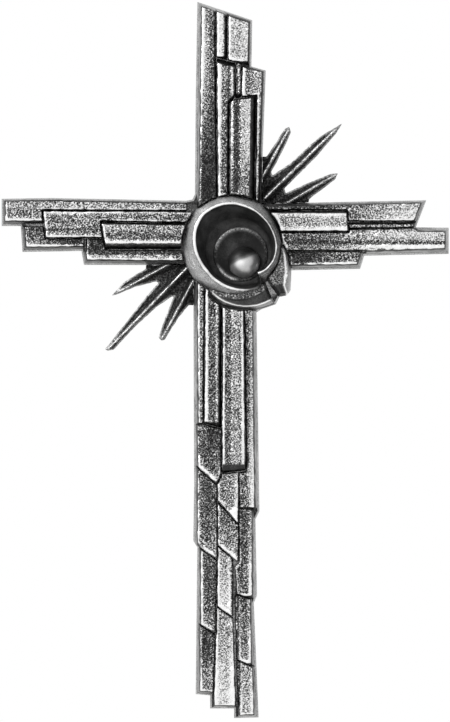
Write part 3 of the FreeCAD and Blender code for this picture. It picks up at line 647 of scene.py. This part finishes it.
UPPER_BARS = (
    Bar("upper_bar_1", UPRIGHT, ((0.27, 0.2, 1), (0.36, 0.1, 0.9), (0.44, 0, 0.62), (0.6, 0, 0.54),
        (0.66, -0.1, 0.36), (0.9, -0.5, 0.3)), 0.0, 1.1, 0.45, 0.38, walls=(0.5, 0.3)),
    Bar("upper_bar_2", UPRIGHT, ((0, 0, 0.95), (0.6, 0, 0.9), (0.72, -0.3, 0.5),
        (0.85, -1.2, 0.08), (1, -2.2, 0)), toe=1.2, walls=(0.95, 0.0)),
    Bar("upper_bar_3", UPRIGHT, ((0.1, 0, 0.85), (0.5, -0.1, 0.76), (0.85, 0, 0.85)), toe=1.2,
        walls=(0.3, 0.1), wall=0.3),
    Bar("upper_bar_4", UPRIGHT, ((0.1, 0.2, 1), (0.24, 0.1, 0.95), (0.3, -0.2, 0.5),
        (0.58, -0.4, 0.42), (0.66, -0.9, 0.1), (0.75, -0.2, 0.3), (0.8, 0.1, 0.9), (0.88, 0, 0.8),
        (0.96, -0.8, 0.1)), 0.8, 1.1, walls=(0.75, 0.25)),
    Bar("upper_bar_5", UPRIGHT, ((0.3, -0.8, 0.1), (0.5, 0, 0.55), (0.75, 0, 0.5),
        (0.9, -0.5, 0.1)), toe=2.0),
    Bar("upper_bar_6", UPRIGHT, ((0.03, -0.4, 0.35), (0.1, 0.2, 0.7), (0.14, 0.4, 0.85),
        (0.18, -0.2, 0.22), (0.3, -1.0, 0.16), (0.4, -0.3, 0.4), (0.44, 0.1, 0.8),
        (0.74, 0.1, 0.9), (0.8, 0, 0.9), (0.84, -0.1, 0.14)), 0.55, 0.95, 0.3, burnish_and_highlight=0.45,
        walls=(0.5, 0.14)),
    Bar("upper_bar_7", UPRIGHT, ((0.06, 0.1, 0.9), (0.14, 0.1, 1), (0.2, -0.1, 0.5),
        (0.5, -0.1, 0.5), (0.66, 0, 0.7), (0.8, 0, 0.7)), 0.85, 1.05, wall=0.3, burnish_and_highlight=0.5),
)

LEFT_BARS = (
    Bar("left_bar_1", LEVEL, ((0.19, 0.1, 1), (0.27, 0, 0.62), (0.5, -0.1, 0.55), (0.6, 0, 0.6),
        (0.7, 0.1, 0.8), (0.9, 0, 0.62)), 0.9, 0.85, 0.6, wall=0.42),
    Bar("left_bar_2", LEVEL, ((0.04, 0, 1), (0.12, 0.1, 0.55), (0.24, -0.3, 0.45),
        (0.31, -0.5, 0.2), (0.36, 0, 0.55), (0.6, 0, 0.48), (0.84, 0, 0.55), (0.92, 0.1, 1)), 1.0,
        0.85),
    Bar("left_bar_3", LEVEL, ((0, 0, 0.2), (0.2, 0, 0.3), (0.24, 0.2, 0.95), (0.3, 0.1, 0.9),
        (0.37, -0.3, 0.32), (0.5, -0.4, 0.38), (0.7, 0, 0.68), (0.88, 0, 0.75)), 1.0, 0.9,
        walls=(0.34, 0.08)),
    Bar("left_bar_4", LEVEL, ((0.18, 0.1, 0.95), (0.27, 0, 0.35), (0.5, -0.1, 0.3),
        (0.85, -0.2, 0.2)), 1.2, 0.6, wall=0.45),
    Bar("left_bar_5", LEVEL, ((0.22, 0.2, 1), (0.31, 0.1, 0.95), (0.37, -0.2, 0.22),
        (0.56, -0.3, 0.12), (0.7, -0.2, 0.12)), 0.8, 0.65, wall=0.48),
)

RIGHT_BARS = (
    Bar("right_bar_1", LEVEL, ((0.1, 0, 0.85), (0.3, -0.1, 0.7), (0.5, 0, 0.8), (0.62, 0, 0.65),
        (0.8, 0, 0.7)), 0.2, 1.2, 0.6, 0.35, burnish_and_highlight=0.4),
    Bar("right_bar_2", LEVEL, ((0.12, 0.1, 1), (0.2, 0.1, 0.95), (0.3, -0.2, 0.66),
        (0.55, -0.2, 0.7), (0.7, 0, 0.8), (0.76, 0.2, 1), (0.86, 0.1, 1), (0.95, -0.8, 0.1)), 0.88,
        1.05),
    Bar("right_bar_3", LEVEL, ((0.16, -0.2, 0.3), (0.22, 0.2, 1), (0.32, 0.1, 1),
        (0.38, -0.4, 0.3), (0.46, -0.4, 0.35), (0.55, 0, 0.75), (0.8, 0, 0.8), (0.92, 0, 0.6)),
        0.42, 1.1, 0.4, 0.3),
    Bar("right_bar_4", LEVEL, ((0.2, 0.2, 1.3), (0.28, 0, 1.1), (0.36, -0.3, 0.5),
        (0.75, -0.4, 0.45), (0.86, 0, 0.6), (0.95, 0, 0.5)), 0.12, 1.05, 0.5, 0.45, burnish_and_highlight=0.9),
    Bar("right_bar_5", LEVEL, ((0.1, -0.8, 0.1), (0.3, 0, 0.62), (0.6, 0, 0.62),
        (0.8, -0.8, 0.05)), walls=(0.0, 0.0), burnish_and_highlight=0.0),
)

SHINGLE = ((0.24, 0.1, 0.6), (0.32, 0, 0.42), (0.6, -0.1, 0.3), (0.85, 0, 0.45))

SHAFT_BARS = (
    Bar("shaft_bar_1", UPRIGHT, ((0.38, 0, 0.95), (0.5, 0, 0.55), (0.8, 0, 0.65),
        (0.95, -0.5, 0.1)), 0.95, 0.85),
    Bar("shaft_bar_2", UPRIGHT, ((0.1, 0.1, 1), (0.22, 0.1, 0.95), (0.27, -0.3, 0.34),
        (0.62, -0.4, 0.34), (0.7, 0.1, 0.75), (0.78, 0.1, 0.7), (0.84, -0.6, 0.12),
        (1, -1.6, 0.08)), toe=3.0, burnish_and_highlight=0.4, walls=(0.5, 0.1)),
    Bar("shaft_bar_3", UPRIGHT, ((0.07, 0.1, 1), (0.12, 0.1, 0.9), (0.16, -0.4, 0.34),
        (0.36, -0.4, 0.36), (0.44, 0, 0.7), (0.74, 0, 0.66), (0.78, -0.1, 0.45), (0.84, 0.2, 1),
        (0.95, 0.1, 1)), toe=5.5, burnish_and_highlight=0.4),
    Bar("shaft_bar_4", UPRIGHT, SHINGLE, 1.5, 0.6, 0.3),
    Bar("shaft_bar_5", UPRIGHT, ((0, -0.9, 0.05), (0.16, -0.5, 0.3), (0.42, -0.3, 0.36),
        (0.55, 0.1, 0.7), (0.7, 0.1, 0.85)), 1.1, 0.85, burnish_and_highlight=0.4),
    Bar("shaft_bar_6", UPRIGHT, SHINGLE, 1.4, 0.7, 0.3),
    Bar("shaft_bar_7", UPRIGHT, ((0.15, 0, 0.6), (0.4, -0.2, 0.52), (0.7, 0, 0.65),
        (0.85, 0.2, 1)), 1.3, 0.85, 0.3),
    Bar("shaft_bar_8", UPRIGHT, ((0.1, 0, 0.5), (0.5, -0.2, 0.42), (0.85, 0, 0.5)), 1.4, 0.8, 0.4),
    Bar("shaft_bar_9", UPRIGHT, ((0.15, 0, 0.35), (0.4, -0.2, 0.28), (0.6, 0, 0.45),
        (0.72, 0.2, 0.95)), 1.1, 0.65, toe=1.5),
    Bar("shaft_bar_10", UPRIGHT, ((0.22, 0.1, 0.9), (0.34, 0, 0.4), (0.6, -0.1, 0.25),
        (0.7, 0.2, 0.4), (0.85, 0, 0.25)), 1.4, 0.8, 0.3),
    Bar("shaft_bar_11", UPRIGHT, ((0.22, 0.1, 0.5), (0.5, -0.2, 0.3), (0.85, 0.1, 0.45)), 1.5, 0.6,
        0.35),
    Bar("shaft_bar_12", UPRIGHT, ((0.1, 0.1, 1), (0.2, 0, 0.76), (0.6, -0.2, 0.72),
        (0.8, 0.1, 0.95), (0.92, -0.4, 0.05)), 1.15, 0.95),
    Bar("shaft_bar_13", UPRIGHT, ((0.12, 0.1, 1), (0.25, 0, 0.8), (0.6, -0.2, 0.76),
        (0.85, 0.1, 1)), 1.1, 0.85),
    Bar("shaft_bar_14", UPRIGHT, ((0.1, -1.0, 0), (0.19, -0.2, 0.1), (0.25, 0.1, 0.8),
        (0.34, 0, 0.45), (0.6, -0.1, 0.42), (0.75, 0.1, 0.8)), 1.3, 0.85, toe=1.2,
        walls=(0.0, 0.1)),
    Bar("shaft_bar_15", UPRIGHT, ((0.1, -1.0, 0), (0.18, -0.2, 0.1), (0.24, 0.1, 0.95),
        (0.34, 0, 0.7), (0.6, -0.1, 0.66), (0.75, 0.1, 0.9)), 1.1, 0.85, walls=(0.0, 0.1)),
)


@dataclass
class RayFan:
    """Three rays on a web: black slopes under bright ridge lines, with pale cast edges."""
    node: str
    ridges: Sequence[tuple[Point, Point]]
    ridge_width: float = 0.75
    ridge_rise: float = 0.5
    ridge_faces: Span = (-0.2, 0.4)  # its glow fades as it turns to the rear
    ridge_tone: float = 1.1
    web_tone: float = 0.05
    rim_width: float = 1.15
    rim_tone: float = 0.5
    swell: Span = (3.5, 0.3)  # grain and depth
    pit_depth: float = 0.12
    past_cross: Span = (1.5, 3.0)  # from the cross's edge, where the rim begins to show
    shortest: float = 2.0  # the rim's edges, which are longer than those round the holes

    def build(self, castings: Castings) -> None:
        """Makes the fan's mesh and its look."""
        obj = copy_of_node(self.node, "cast_" + self.node)
        outline = face_outline(obj, 1, self.shortest)
        refine(obj, FINE_VOXEL, 2)
        rows = points(obj)
        lines = np.array([foot + tip for foot, tip in self.ridges])
        crest = bell(distance_to(rows, lines), 0, self.ridge_width)
        rows[:, 1] -= self.ridge_rise * crest * (rows[:, 1] < PLATE_FRONT + 1)
        place(obj, rows)
        everywhere = np.ones(len(rows))
        roughen(obj, *self.swell, everywhere)
        pit = roughen(obj, PIT_GRAIN, self.pit_depth, everywhere)
        rim = 1 - smoothstep(distance_to(rows, outline), self.rim_width - 0.5, self.rim_width)
        rim *= smoothstep(distance_to(rows, castings.edge), *self.past_cross)
        crest *= smoothstep(-normals(obj)[:, 1], *self.ridge_faces)
        tone = self.web_tone + (self.ridge_tone - self.web_tone) * crest
        tone = tone * (1 - rim) + self.rim_tone * rim
        keep_values(obj, tone=tone, stipple=0.12 + 0.5 * crest * (1 - rim), pit=pit)
        settle(obj, self.node, castings.rays)


FANS = (
    RayFan("ray_fan_upper", (((22.0, 302.5), (39.0, 333.0)), ((24.0, 290.0), (70.8, 335.4)),
                             ((34.0, 284.8), (68.6, 305.0)))),
    RayFan("ray_fan_lower", (((-30.0, 252.2), (-69.6, 230.8)), ((-22.5, 248.8), (-73.6, 196.2)),
                             ((-20.3, 239.0), (-40.1, 202.8)))),
)


# ---- the whirl ----
@dataclass(frozen=True)
class Circle:
    """A circle in the XZ plane, in millimetres."""
    x: float
    z: float
    r: float

    def reach(self, centre: Point, angles: Array) -> Array:
        """How far the circle is from a centre inside it, at each angle."""
        dx, dz = centre[0] - self.x, centre[1] - self.z
        along = dx * np.cos(angles) + dz * np.sin(angles)
        return -along + np.sqrt(along ** 2 - dx * dx - dz * dz + self.r ** 2)

    def past(self, rows: Array) -> Array:
        """How far outside the circle each point is."""
        return np.hypot(rows[:, 0] - self.x, rows[:, 2] - self.z) - self.r


@dataclass(frozen=True)
class Ring:
    """One ring of the bowl: a share of the way from a circle to the rim, a step and a height."""
    share: float
    step: float
    height: float
    inner: bool = False


def ring_form(name: str, centre: Point, count: int, start: float, rings: Sequence[Any],
              where: Callable[[Any, Array], tuple[Array, Array]]) -> Object:
    """Draws a circle out through one ring after another and closes both ends.

    Args:
        name: The new object's name.
        centre: The rings' centre, x and z.
        count: How many corners a ring has.
        start: The first corner's angle in degrees.
        rings: One item for each ring, from the rear foot to the middle of the front.
        where: Gives a ring's radius and height above the plate at each angle.

    Returns:
        The closed form.
    """
    bpy.ops.object.select_all(action="DESELECT")
    bpy.ops.mesh.primitive_circle_add(vertices=count, radius=MM, fill_type="NOTHING",
                                      location=(0, 0, 0))
    obj = bpy.context.object
    obj.name = name
    rise = 0.1  # from ring to ring, until each is put in its place
    with editing():
        bpy.ops.mesh.edge_face_add()
        for _ in rings[1:]:
            bpy.ops.mesh.extrude_region_move(TRANSFORM_OT_translate={"value": (0, 0, rise * MM)})
    rows = points(obj)
    turn = np.arctan2(rows[:, 1], rows[:, 0]) + math.radians(start)
    level = np.rint(rows[:, 2] / rise).astype(int)
    for index, ring in enumerate(rings):
        mine = level == index
        radius, height = where(ring, turn[mine])
        rows[mine] = np.stack([centre[0] + radius * np.cos(turn[mine]), PLATE_FRONT - height,
                               centre[1] + radius * np.sin(turn[mine])], axis=1)
    place(obj, rows)
    activate(obj)
    with editing():
        bpy.ops.mesh.normals_make_consistent(inside=False)
    return obj


@dataclass
class Whirl:
    """The bowl whose rim winds in on itself, with its inner cup, its ball and two petals."""
    centre: Point = (6.2, 259.6)
    foot: Circle = Circle(3.7, 260.9, 31.4)
    hollow: Circle = Circle(8.6, 256.0, 20.3)
    cup: Circle = Circle(9.3, 255.0, 17.5)
    ball: Circle = Circle(11.2, 250.3, 10.0)
    start: float = -50.0
    # degrees anticlockwise from +X, the rim's reach from the centre, its share of height
    rim: Sequence[Triple] = (
        (-50, 21.4, 1), (-38, 23.2, 1), (-20, 24.7, 1), (0, 25.0, 1), (25, 24.5, 1),
        (50, 24.7, 1), (80, 25.8, 1), (105, 27.5, 1), (135, 28.5, 1), (155, 27.5, 1),
        (177, 25.5, 1), (200, 24.0, 1), (220, 23.4, 1), (246, 24.5, 1),
        (266, 26.0, 0.97), (284, 27.6, 0.9), (296, 28.4, 0.78), (302, 28.4, 0.7),
        (310, 21.4, 1))
    low_rings: float = 10.0  # rings under this height don't follow the rim's own height
    corners: int = 240
    cup_corners: int = 96
    narrow_side: float = 15.0  # degrees: where the bright rim line is narrowest
    line_half: Span = (0.2, 0.55)  # half its width there, and what it gains
    line_soft: Span = (0.2, 0.3)
    lit_turn: Span = (140, 35)  # degrees from start: the middle and the width of the painted light on the top of the outer wall
    ending: Span = (318, 340)
    tip: Span = (346, 352)
    tip_end: Span = (358, 360)
    cleft_x: Span = (20.0, 22.5)
    cleft_z: Span = (238.0, 243.0)
    pit_grain: float = 1.2
    rings: Sequence[Ring] = (
        Ring(0.0, 0.0, 0.0), Ring(0.33, 0.6, 6.0), Ring(0.66, 0.8, 12.0), Ring(1.0, 1.5, 17.4),
        Ring(1.0, 0.9, 18.6), Ring(1.0, 0.0, 19.0), Ring(1.0, -0.8, 18.4),
        Ring(1.0, -1.4, 16.5), Ring(0.55, -1.0, 11.5, True), Ring(0.15, 0.0, 8.0, True),
        Ring(0.0, -1.0, 6.6, True), Ring(0.0, -3.5, 5.9, True), Ring(0.0, -12.0, 4.5, True),
        Ring(0.0, -19.0, 4.0, True))
    # by radius and height
    cup_rings: Sequence[Point] = (
        (17.4, 3.0), (17.5, 5.0), (17.3, 5.9), (16.8, 6.5), (15.8, 6.7), (14.6, 6.4),
        (13.0, 5.6), (11.0, 5.0), (6.0, 4.9), (1.0, 4.9))
    cup_lip: float = 16.2
    band: Circle = Circle(7.0, 255.3, 28.1)
    crescent: Circle = Circle(12.5, 254.0, 31.2)
    crack: Point = (26.8, 233.0)
    crack_foot: float = 228.5
    right_edge: Sequence[Point] = (
        (38.0, 231.0), (36.3, 235.5), (37.4, 242.0), (36.8, 250.0), (36.2, 257.0))
    break_from: Point = (30.0, 235.5)
    petal_front: float = 2.0  # in front of the plate, where the petals' looks begin
    petal_swell: float = 4.0
    petal_pits: float = 0.13
    petal_tone: float = 0.36
    petal_edge: float = 0.95

    def along_rim(self, angles: Array) -> tuple[Array, Array]:
        """The rim's reach and its share of its full height, at each angle in radians."""
        degrees = (np.degrees(angles) - self.start + 0.01) % 360 + self.start
        at, reach, share = zip(*self.rim)
        return np.interp(degrees, at, reach), np.interp(degrees, at, share)

    def ring_at(self, ring: Ring, angles: Array) -> tuple[Array, Array]:
        """A bowl ring's radius and height at each angle."""
        side = self.hollow if ring.inner else self.foot
        reach, share = self.along_rim(angles)
        radius = side.reach(self.centre, angles) * (1 - ring.share) + reach * ring.share
        follows = np.where(ring.height > self.low_rings, share, 1.0)
        return radius + ring.step, ring.height * follows

    def build(self, castings: Castings) -> None:
        """Makes every piece of the whirl."""
        self.bowl(castings)
        self.inner_cup(castings)
        self.boss(castings)
        self.lower_petal(castings)
        self.right_petal(castings)

    def bowl(self, castings: Castings) -> None:
        """The leaning bowl with its bright winding rim and its dark hollow; its wall has painted
        light at the left and top and a painted shadow line under the rim.
        """
        obj = ring_form("cast_whirl_bowl", self.centre, self.corners, self.start,
                        self.rings, self.ring_at)
        refine(obj, FINE_VOXEL, 4)
        rows = points(obj)
        dx, dz = rows[:, 0] - self.centre[0], rows[:, 2] - self.centre[1]
        radius, angle = np.hypot(dx, dz), np.arctan2(dz, dx)
        turn = (np.degrees(angle) - self.start) % 360
        reach, share = self.along_rim(angle)
        past = radius - reach
        leftness = (1 - np.cos(angle - math.radians(self.narrow_side))) / 2
        half = self.line_half[0] + self.line_half[1] * leftness
        line = half - self.line_soft[0], half + self.line_soft[1]
        outside, inside = smoothstep(past, *line), smoothstep(-past, *line)
        rim = (1 - outside) * (1 - inside)
        swell = roughen(obj, 5.0, 0.35, np.maximum(outside, 0.5))
        pit = roughen(obj, self.pit_grain, 0.19, above(0.2, outside))

        # a painted shadow line on the wall just outside the rim
        rim_shadow = bell(past, half + 0.5, 0.5)
        tip = smoothstep(turn, *self.tip) * (1 - smoothstep(turn, *self.tip_end))
        cleft = smoothstep(rows[:, 0], *self.cleft_x) * (1 - smoothstep(rows[:, 2], *self.cleft_z))
        # painted light: the outer wall is lighter towards the left and the top
        wall = 0.42 + 0.46 * leftness ** 0.7 + 0.25 * bell(turn, *self.lit_turn)
        tone = (wall - 0.25 * rim_shadow) * (1 - 0.75 * smoothstep(turn, *self.ending)) * outside
        bright = (0.4 + 0.75 * smoothstep(share, 0.8, 0.97)) * np.clip(0.85 + 0.6 * swell, 0, 1)
        tone += rim * (1 - tip) * bright + 0.05 * inside
        tone *= 1 - 0.85 * cleft
        keep_values(obj, tone=tone, stipple=0.28 * outside + 0.03, pit=pit)
        settle(obj, "whirl_bowl", castings.whirl)

    def inner_cup(self, castings: Castings) -> None:
        """The shallow cup in the hollow, with painted highlights on its upper and lower lip."""
        middle = (self.cup.x, self.cup.z)
        obj = ring_form("cast_whirl_inner_cup", middle, self.cup_corners, 0.0, self.cup_rings,
                        lambda ring, turn: [np.full(len(turn), value) for value in ring])
        refine(obj, FINE_VOXEL, 4)
        rows = points(obj)
        dx, dz = rows[:, 0] - middle[0], rows[:, 2] - middle[1]
        lip = bell(np.hypot(dx, dz), self.cup_lip, 1.3)
        degrees = np.degrees(np.arctan2(dz, dx))
        upper = smoothstep(degrees, -10, 90) * (1 - smoothstep(degrees, 150, 180))
        lower = 1 - smoothstep(np.abs(degrees + 125), 12, 38)
        pit = roughen(obj, self.pit_grain, 0.12, np.full(len(rows), 0.8))
        # painted highlights on the lip's upper and lower arcs
        tone = 0.02 + lip * (0.5 * upper + 0.75 * lower)
        keep_values(obj, tone=tone, stipple=0.03 + 0.25 * lip, pit=pit)
        settle(obj, "whirl_inner_cup", castings.whirl)

    def boss(self, castings: Castings) -> None:
        """The polished half ball, with painted light and a painted glint on its lower right and
        painted shade above.
        """
        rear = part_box("whirl_boss")[1].y
        bpy.ops.object.select_all(action="DESELECT")
        bpy.ops.mesh.primitive_uv_sphere_add(
            segments=64, ring_count=32, radius=self.ball.r * MM,
            location=(self.ball.x * MM, rear, self.ball.z * MM),
            rotation=(math.pi / 2, 0, 0))
        obj = bpy.context.object
        obj.name = "polished_whirl_boss"
        bpy.ops.object.transform_apply(location=True, rotation=True, scale=True)
        with editing():
            # cut just in front of the ball's widest ring, so that the cut closes cleanly
            bpy.ops.mesh.bisect(plane_co=(0, rear - 0.02 * MM, 0), plane_no=(0, 1, 0),
                                use_fill=True, clear_outer=True)
        apply_modifier(obj, "SUBSURF", levels=1, render_levels=1)
        rows = points(obj)
        dx, dz = (rows[:, 0] - self.ball.x) / self.ball.r, (rows[:, 2] - self.ball.z) / self.ball.r
        # painted light on the lower right, with a painted glint, and painted shade above
        lit = smoothstep(0.42 + 0.48 * dx - dz, -0.05, 0.4) * smoothstep(dx, -0.98, -0.8)
        glint = bell(dx, -0.25, 0.4) * bell(dz, 0.05, 0.316)
        tone = 0.1 + (0.62 + 0.3 * glint) * lit
        keep_values(obj, tone=tone, stipple=np.full(len(rows), 0.08), pit=np.zeros(len(rows)))
        smooth_shading(obj, 50)
        settle(obj, "whirl_boss", castings.boss)

    def petal(self, node: str) -> tuple[Object, Array, Array]:
        """A petal's refined mesh, with its points and which of them are on its front."""
        obj = copy_of_node(node, "cast_" + node)
        refine(obj, FINE_VOXEL, 3)
        rows = points(obj)
        return obj, rows, (rows[:, 1] < PLATE_FRONT - self.petal_front).astype(float)

    def lower_petal(self, castings: Castings) -> None:
        """The crescent under the bowl: a grained band, a dark band and a bright edge."""
        obj, rows, front = self.petal("whirl_lower_petal")
        band, edge = self.band.past(rows), self.crescent.past(rows)
        rows[:, 1] += front * (1.4 * smoothstep(band, 0.0, 1.2) - 1.2 * bell(edge, 0, 0.8))
        place(obj, rows)
        roughen(obj, self.petal_swell, 0.25, front)
        pit = roughen(obj, PIT_GRAIN, self.petal_pits, front)
        grained = 1 - smoothstep(band, -0.3, 0.4)
        beyond = smoothstep(edge, 0.4, 1.0)
        from_crack = rows[:, 0] - self.crack[0] - 0.3 * (self.crack[1] - rows[:, 2])
        crack = (1 - smoothstep(np.abs(from_crack), 0.3, 1.2)) * (rows[:, 2] > self.crack_foot)
        tone = self.petal_tone * grained + 0.16 * (1 - grained)
        tone += self.petal_edge * bell(edge, 0, 0.75)
        tone = (tone * (1 - beyond) + WALL_TONE * beyond) * (1 - 0.8 * crack)
        keep_values(obj, tone=tone, stipple=0.5 * grained + 0.08, pit=pit)
        settle(obj, "whirl_lower_petal", castings.whirl)

    def right_petal(self, castings: Castings) -> None:
        """The petal beside the bowl: a grained face, a bright edge and a broken lower end."""
        obj, rows, front = self.petal("whirl_right_petal")
        edge_x, edge_z = zip(*self.right_edge)
        edge = rows[:, 0] - np.interp(rows[:, 2], edge_z, edge_x)
        rows[:, 1] -= front * 0.8 * bell(edge, 0, 0.9)
        place(obj, rows)
        roughen(obj, self.petal_swell, 0.3, front)
        pit = roughen(obj, PIT_GRAIN, self.petal_pits, front)
        break_z = self.break_from[1] + 0.25 * (rows[:, 0] - self.break_from[0])
        broken = smoothstep(break_z - rows[:, 2], -0.6, 0.6)
        beyond = smoothstep(edge, 0.4, 1.1)
        tone = self.petal_tone * (1 - broken) + 0.08 * broken
        tone += self.petal_edge * bell(edge, 0, 0.8)
        tone = tone * (1 - beyond) + WALL_TONE * beyond
        keep_values(obj, tone=tone, stipple=0.5 * (1 - broken) * (1 - beyond) + 0.08, pit=pit)
        settle(obj, "whirl_right_petal", castings.whirl)


# ---- behind ----
@dataclass
class EdgedCopy:
    """A CAD node's copy with its long edges broken."""
    node: str
    slot: str
    bevel: float
    shortest: float = 0.0  # edges shorter than this, such as those round holes, stay sharp
    prefix: str = "edged_"
    sharp: float = 30.0
    smooth: float = 35.0

    def build(self, material: Material) -> None:
        """Makes the piece in its finish."""
        obj = copy_of_node(self.node, self.prefix + self.node)
        with editing():
            bpy.ops.mesh.select_mode(type="EDGE")
            bpy.ops.mesh.select_all(action="DESELECT")
            bpy.ops.mesh.edges_select_sharp(sharpness=math.radians(self.sharp))
        rows = points(obj)
        for edge in obj.data.edges:
            a, b = edge.vertices
            if edge.select and np.linalg.norm(rows[a] - rows[b]) < self.shortest:
                edge.select = False
        bpy.ops.object.mode_set(mode="EDIT")
        bpy.ops.mesh.bevel(offset=self.bevel * MM, segments=2, clamp_overlap=True)
        bpy.ops.object.mode_set(mode="OBJECT")
        smooth_shading(obj, self.smooth)
        out = normals(obj)[:, 1]
        tone = 0.62 - 0.25 * smoothstep(out, 0.3, 0.9) - 0.5 * smoothstep(-out, 0.8, 0.95)
        keep_values(obj, tone=tone, stipple=np.full(len(out), 0.12), pit=np.zeros(len(out)))
        settle(obj, self.node, material)


def dress_nodes(names: Sequence[str], material: Material) -> None:
    """Gives CAD nodes that stay as they are their finish."""
    for name in names:
        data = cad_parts[name].data
        data.materials.clear()
        data.materials.append(material)


# ---- the studio ----
@dataclass
class Studio:
    """A white light box with one soft key light from the upper left."""
    target: Triple = (-0.6, -30.0, 188.6)
    distance: float = 2600.0
    width: float = 280.5
    tallness: float = 722 / 450  # the view's height over its width
    floor_z: float = -110.0
    floor_radius: float = 450.0
    floor_depth: float = 20.0
    key_place: Triple = (-1000.0, -900.0, 1000.0)
    key_size: float = 500.0
    key_watts: float = 14.0

    def build(self) -> None:
        """Sets up the floor, the light and the camera."""
        self.floor()
        self.light()
        self.camera()

    def floor(self) -> None:
        """A pale round board that the stand would rest on."""
        bpy.ops.object.select_all(action="DESELECT")
        bpy.ops.mesh.primitive_cylinder_add(
            vertices=96, radius=self.floor_radius * MM, depth=self.floor_depth * MM,
            location=(0, 0, (self.floor_z - self.floor_depth / 2) * MM))
        board = bpy.context.object
        board.name = "studio_floor"
        board.data.materials.append(StudioFloor().build())

    def light(self) -> None:
        """A white surround and a soft key."""
        world = bpy.data.worlds.new("light_box")
        world.use_nodes = True
        back = world.node_tree.nodes["Background"]
        back.inputs["Color"].default_value = (1, 1, 1, 1)
        back.inputs["Strength"].default_value = 1.0
        bpy.context.scene.world = world
        data = bpy.data.lights.new("key", "AREA")
        data.shape, data.size, data.energy = "DISK", self.key_size * MM, self.key_watts
        lamp = bpy.data.objects.new("key", data)
        bpy.context.scene.collection.objects.link(lamp)
        lamp.location = Vector(self.key_place) * MM
        aim = Vector(self.target) * MM - lamp.location
        lamp.rotation_euler = aim.to_track_quat("-Z", "Y").to_euler()

    def camera(self) -> None:
        """A long lens square on to the relief."""
        data = bpy.data.cameras.new("camera")
        data.sensor_fit = "AUTO"
        data.lens = data.sensor_width * self.distance / (self.width * self.tallness)
        camera = bpy.data.objects.new("camera", data)
        bpy.context.scene.collection.objects.link(camera)
        x, y, z = self.target
        camera.location = (x * MM, (y - self.distance) * MM, z * MM)
        camera.rotation_euler = (math.pi / 2, 0, 0)
        bpy.context.scene.camera = camera
        bpy.context.scene.view_settings.view_transform = "Standard"


def main() -> None:
    """Builds every piece in order."""
    logging.basicConfig(level=logging.INFO, format="%(message)s")
    plate = copy_of_node("backplate", "outline_source")
    edge = face_outline(plate, 1, PLATE_SHORTEST)
    bpy.data.objects.remove(plate)
    castings = Castings(
        edge=edge,
        # bright rubbed ridges and specks over nearly black pits
        bars=AntiquedCasting("antiqued_sand_casting").build(),
        # blacker still, so that only the ridge lines shine
        rays=AntiquedCasting("blackened_sand_casting", patina="101010").build(),
        # a softer grain, which shows the turn of the bowl and the petals
        whirl=AntiquedCasting("antiqued_satin_casting", contrast=1.8, metallic=0.7).build(),
        # a clear glint with hardly a speck in it
        boss=AntiquedCasting("polished_casting", rough=0.34, contrast=0.6).build(),
        # an even dark grey that was never rubbed
        plate=AntiquedCasting("blackened_plate_casting", worn="5a5a5a").build(),
    )
    for bar in (*UPPER_BARS, *LEFT_BARS, *RIGHT_BARS, *SHAFT_BARS):
        bar.build(castings)
    for fan in FANS:
        fan.build(castings)
    Whirl().build(castings)

    # long streaks down the tube
    steel = DrawnSteel("drawn_steel_tube").build()
    # a paler, bluish plate with no streaks
    zinc = DrawnSteel("zinc_plated_steel", base="b4b6b8", stretch=(1.0, 1.0, 1.0)).build()
    # yellow against the steel
    brass = DrawnSteel("turned_brass", base="c2a05c", shadow="7c6030",
                       stretch=(1.0, 1.0, 1.0)).build()
    EdgedCopy("backplate", "plate_casting", 0.4, PLATE_SHORTEST, "cast_").build(castings.plate)
    EdgedCopy("ray_tie_bar", "fastener_steel", 0.4, 2.0).build(steel)
    EdgedCopy("socket_bracket", "socket_steel", 0.4, 2.0).build(steel)
    EdgedCopy("socket_cap", "socket_steel", 0.5).build(steel)
    EdgedCopy("clamp_boss", "socket_steel", 0.4, 2.0).build(steel)
    EdgedCopy("whirl_washer", "fastener_steel", 0.25).build(zinc)
    dress_nodes(("staff_socket",), steel)
    dress_nodes(("whirl_stud", "whirl_nut", "clamp_screw", "bar_screws",
                 "slender_bar_screws", "petal_screws", "tie_bar_screws", "bracket_screws"), zinc)
    dress_nodes(("clamp_pad",), brass)
    Studio().build()


if __name__ == "__main__":
    main()
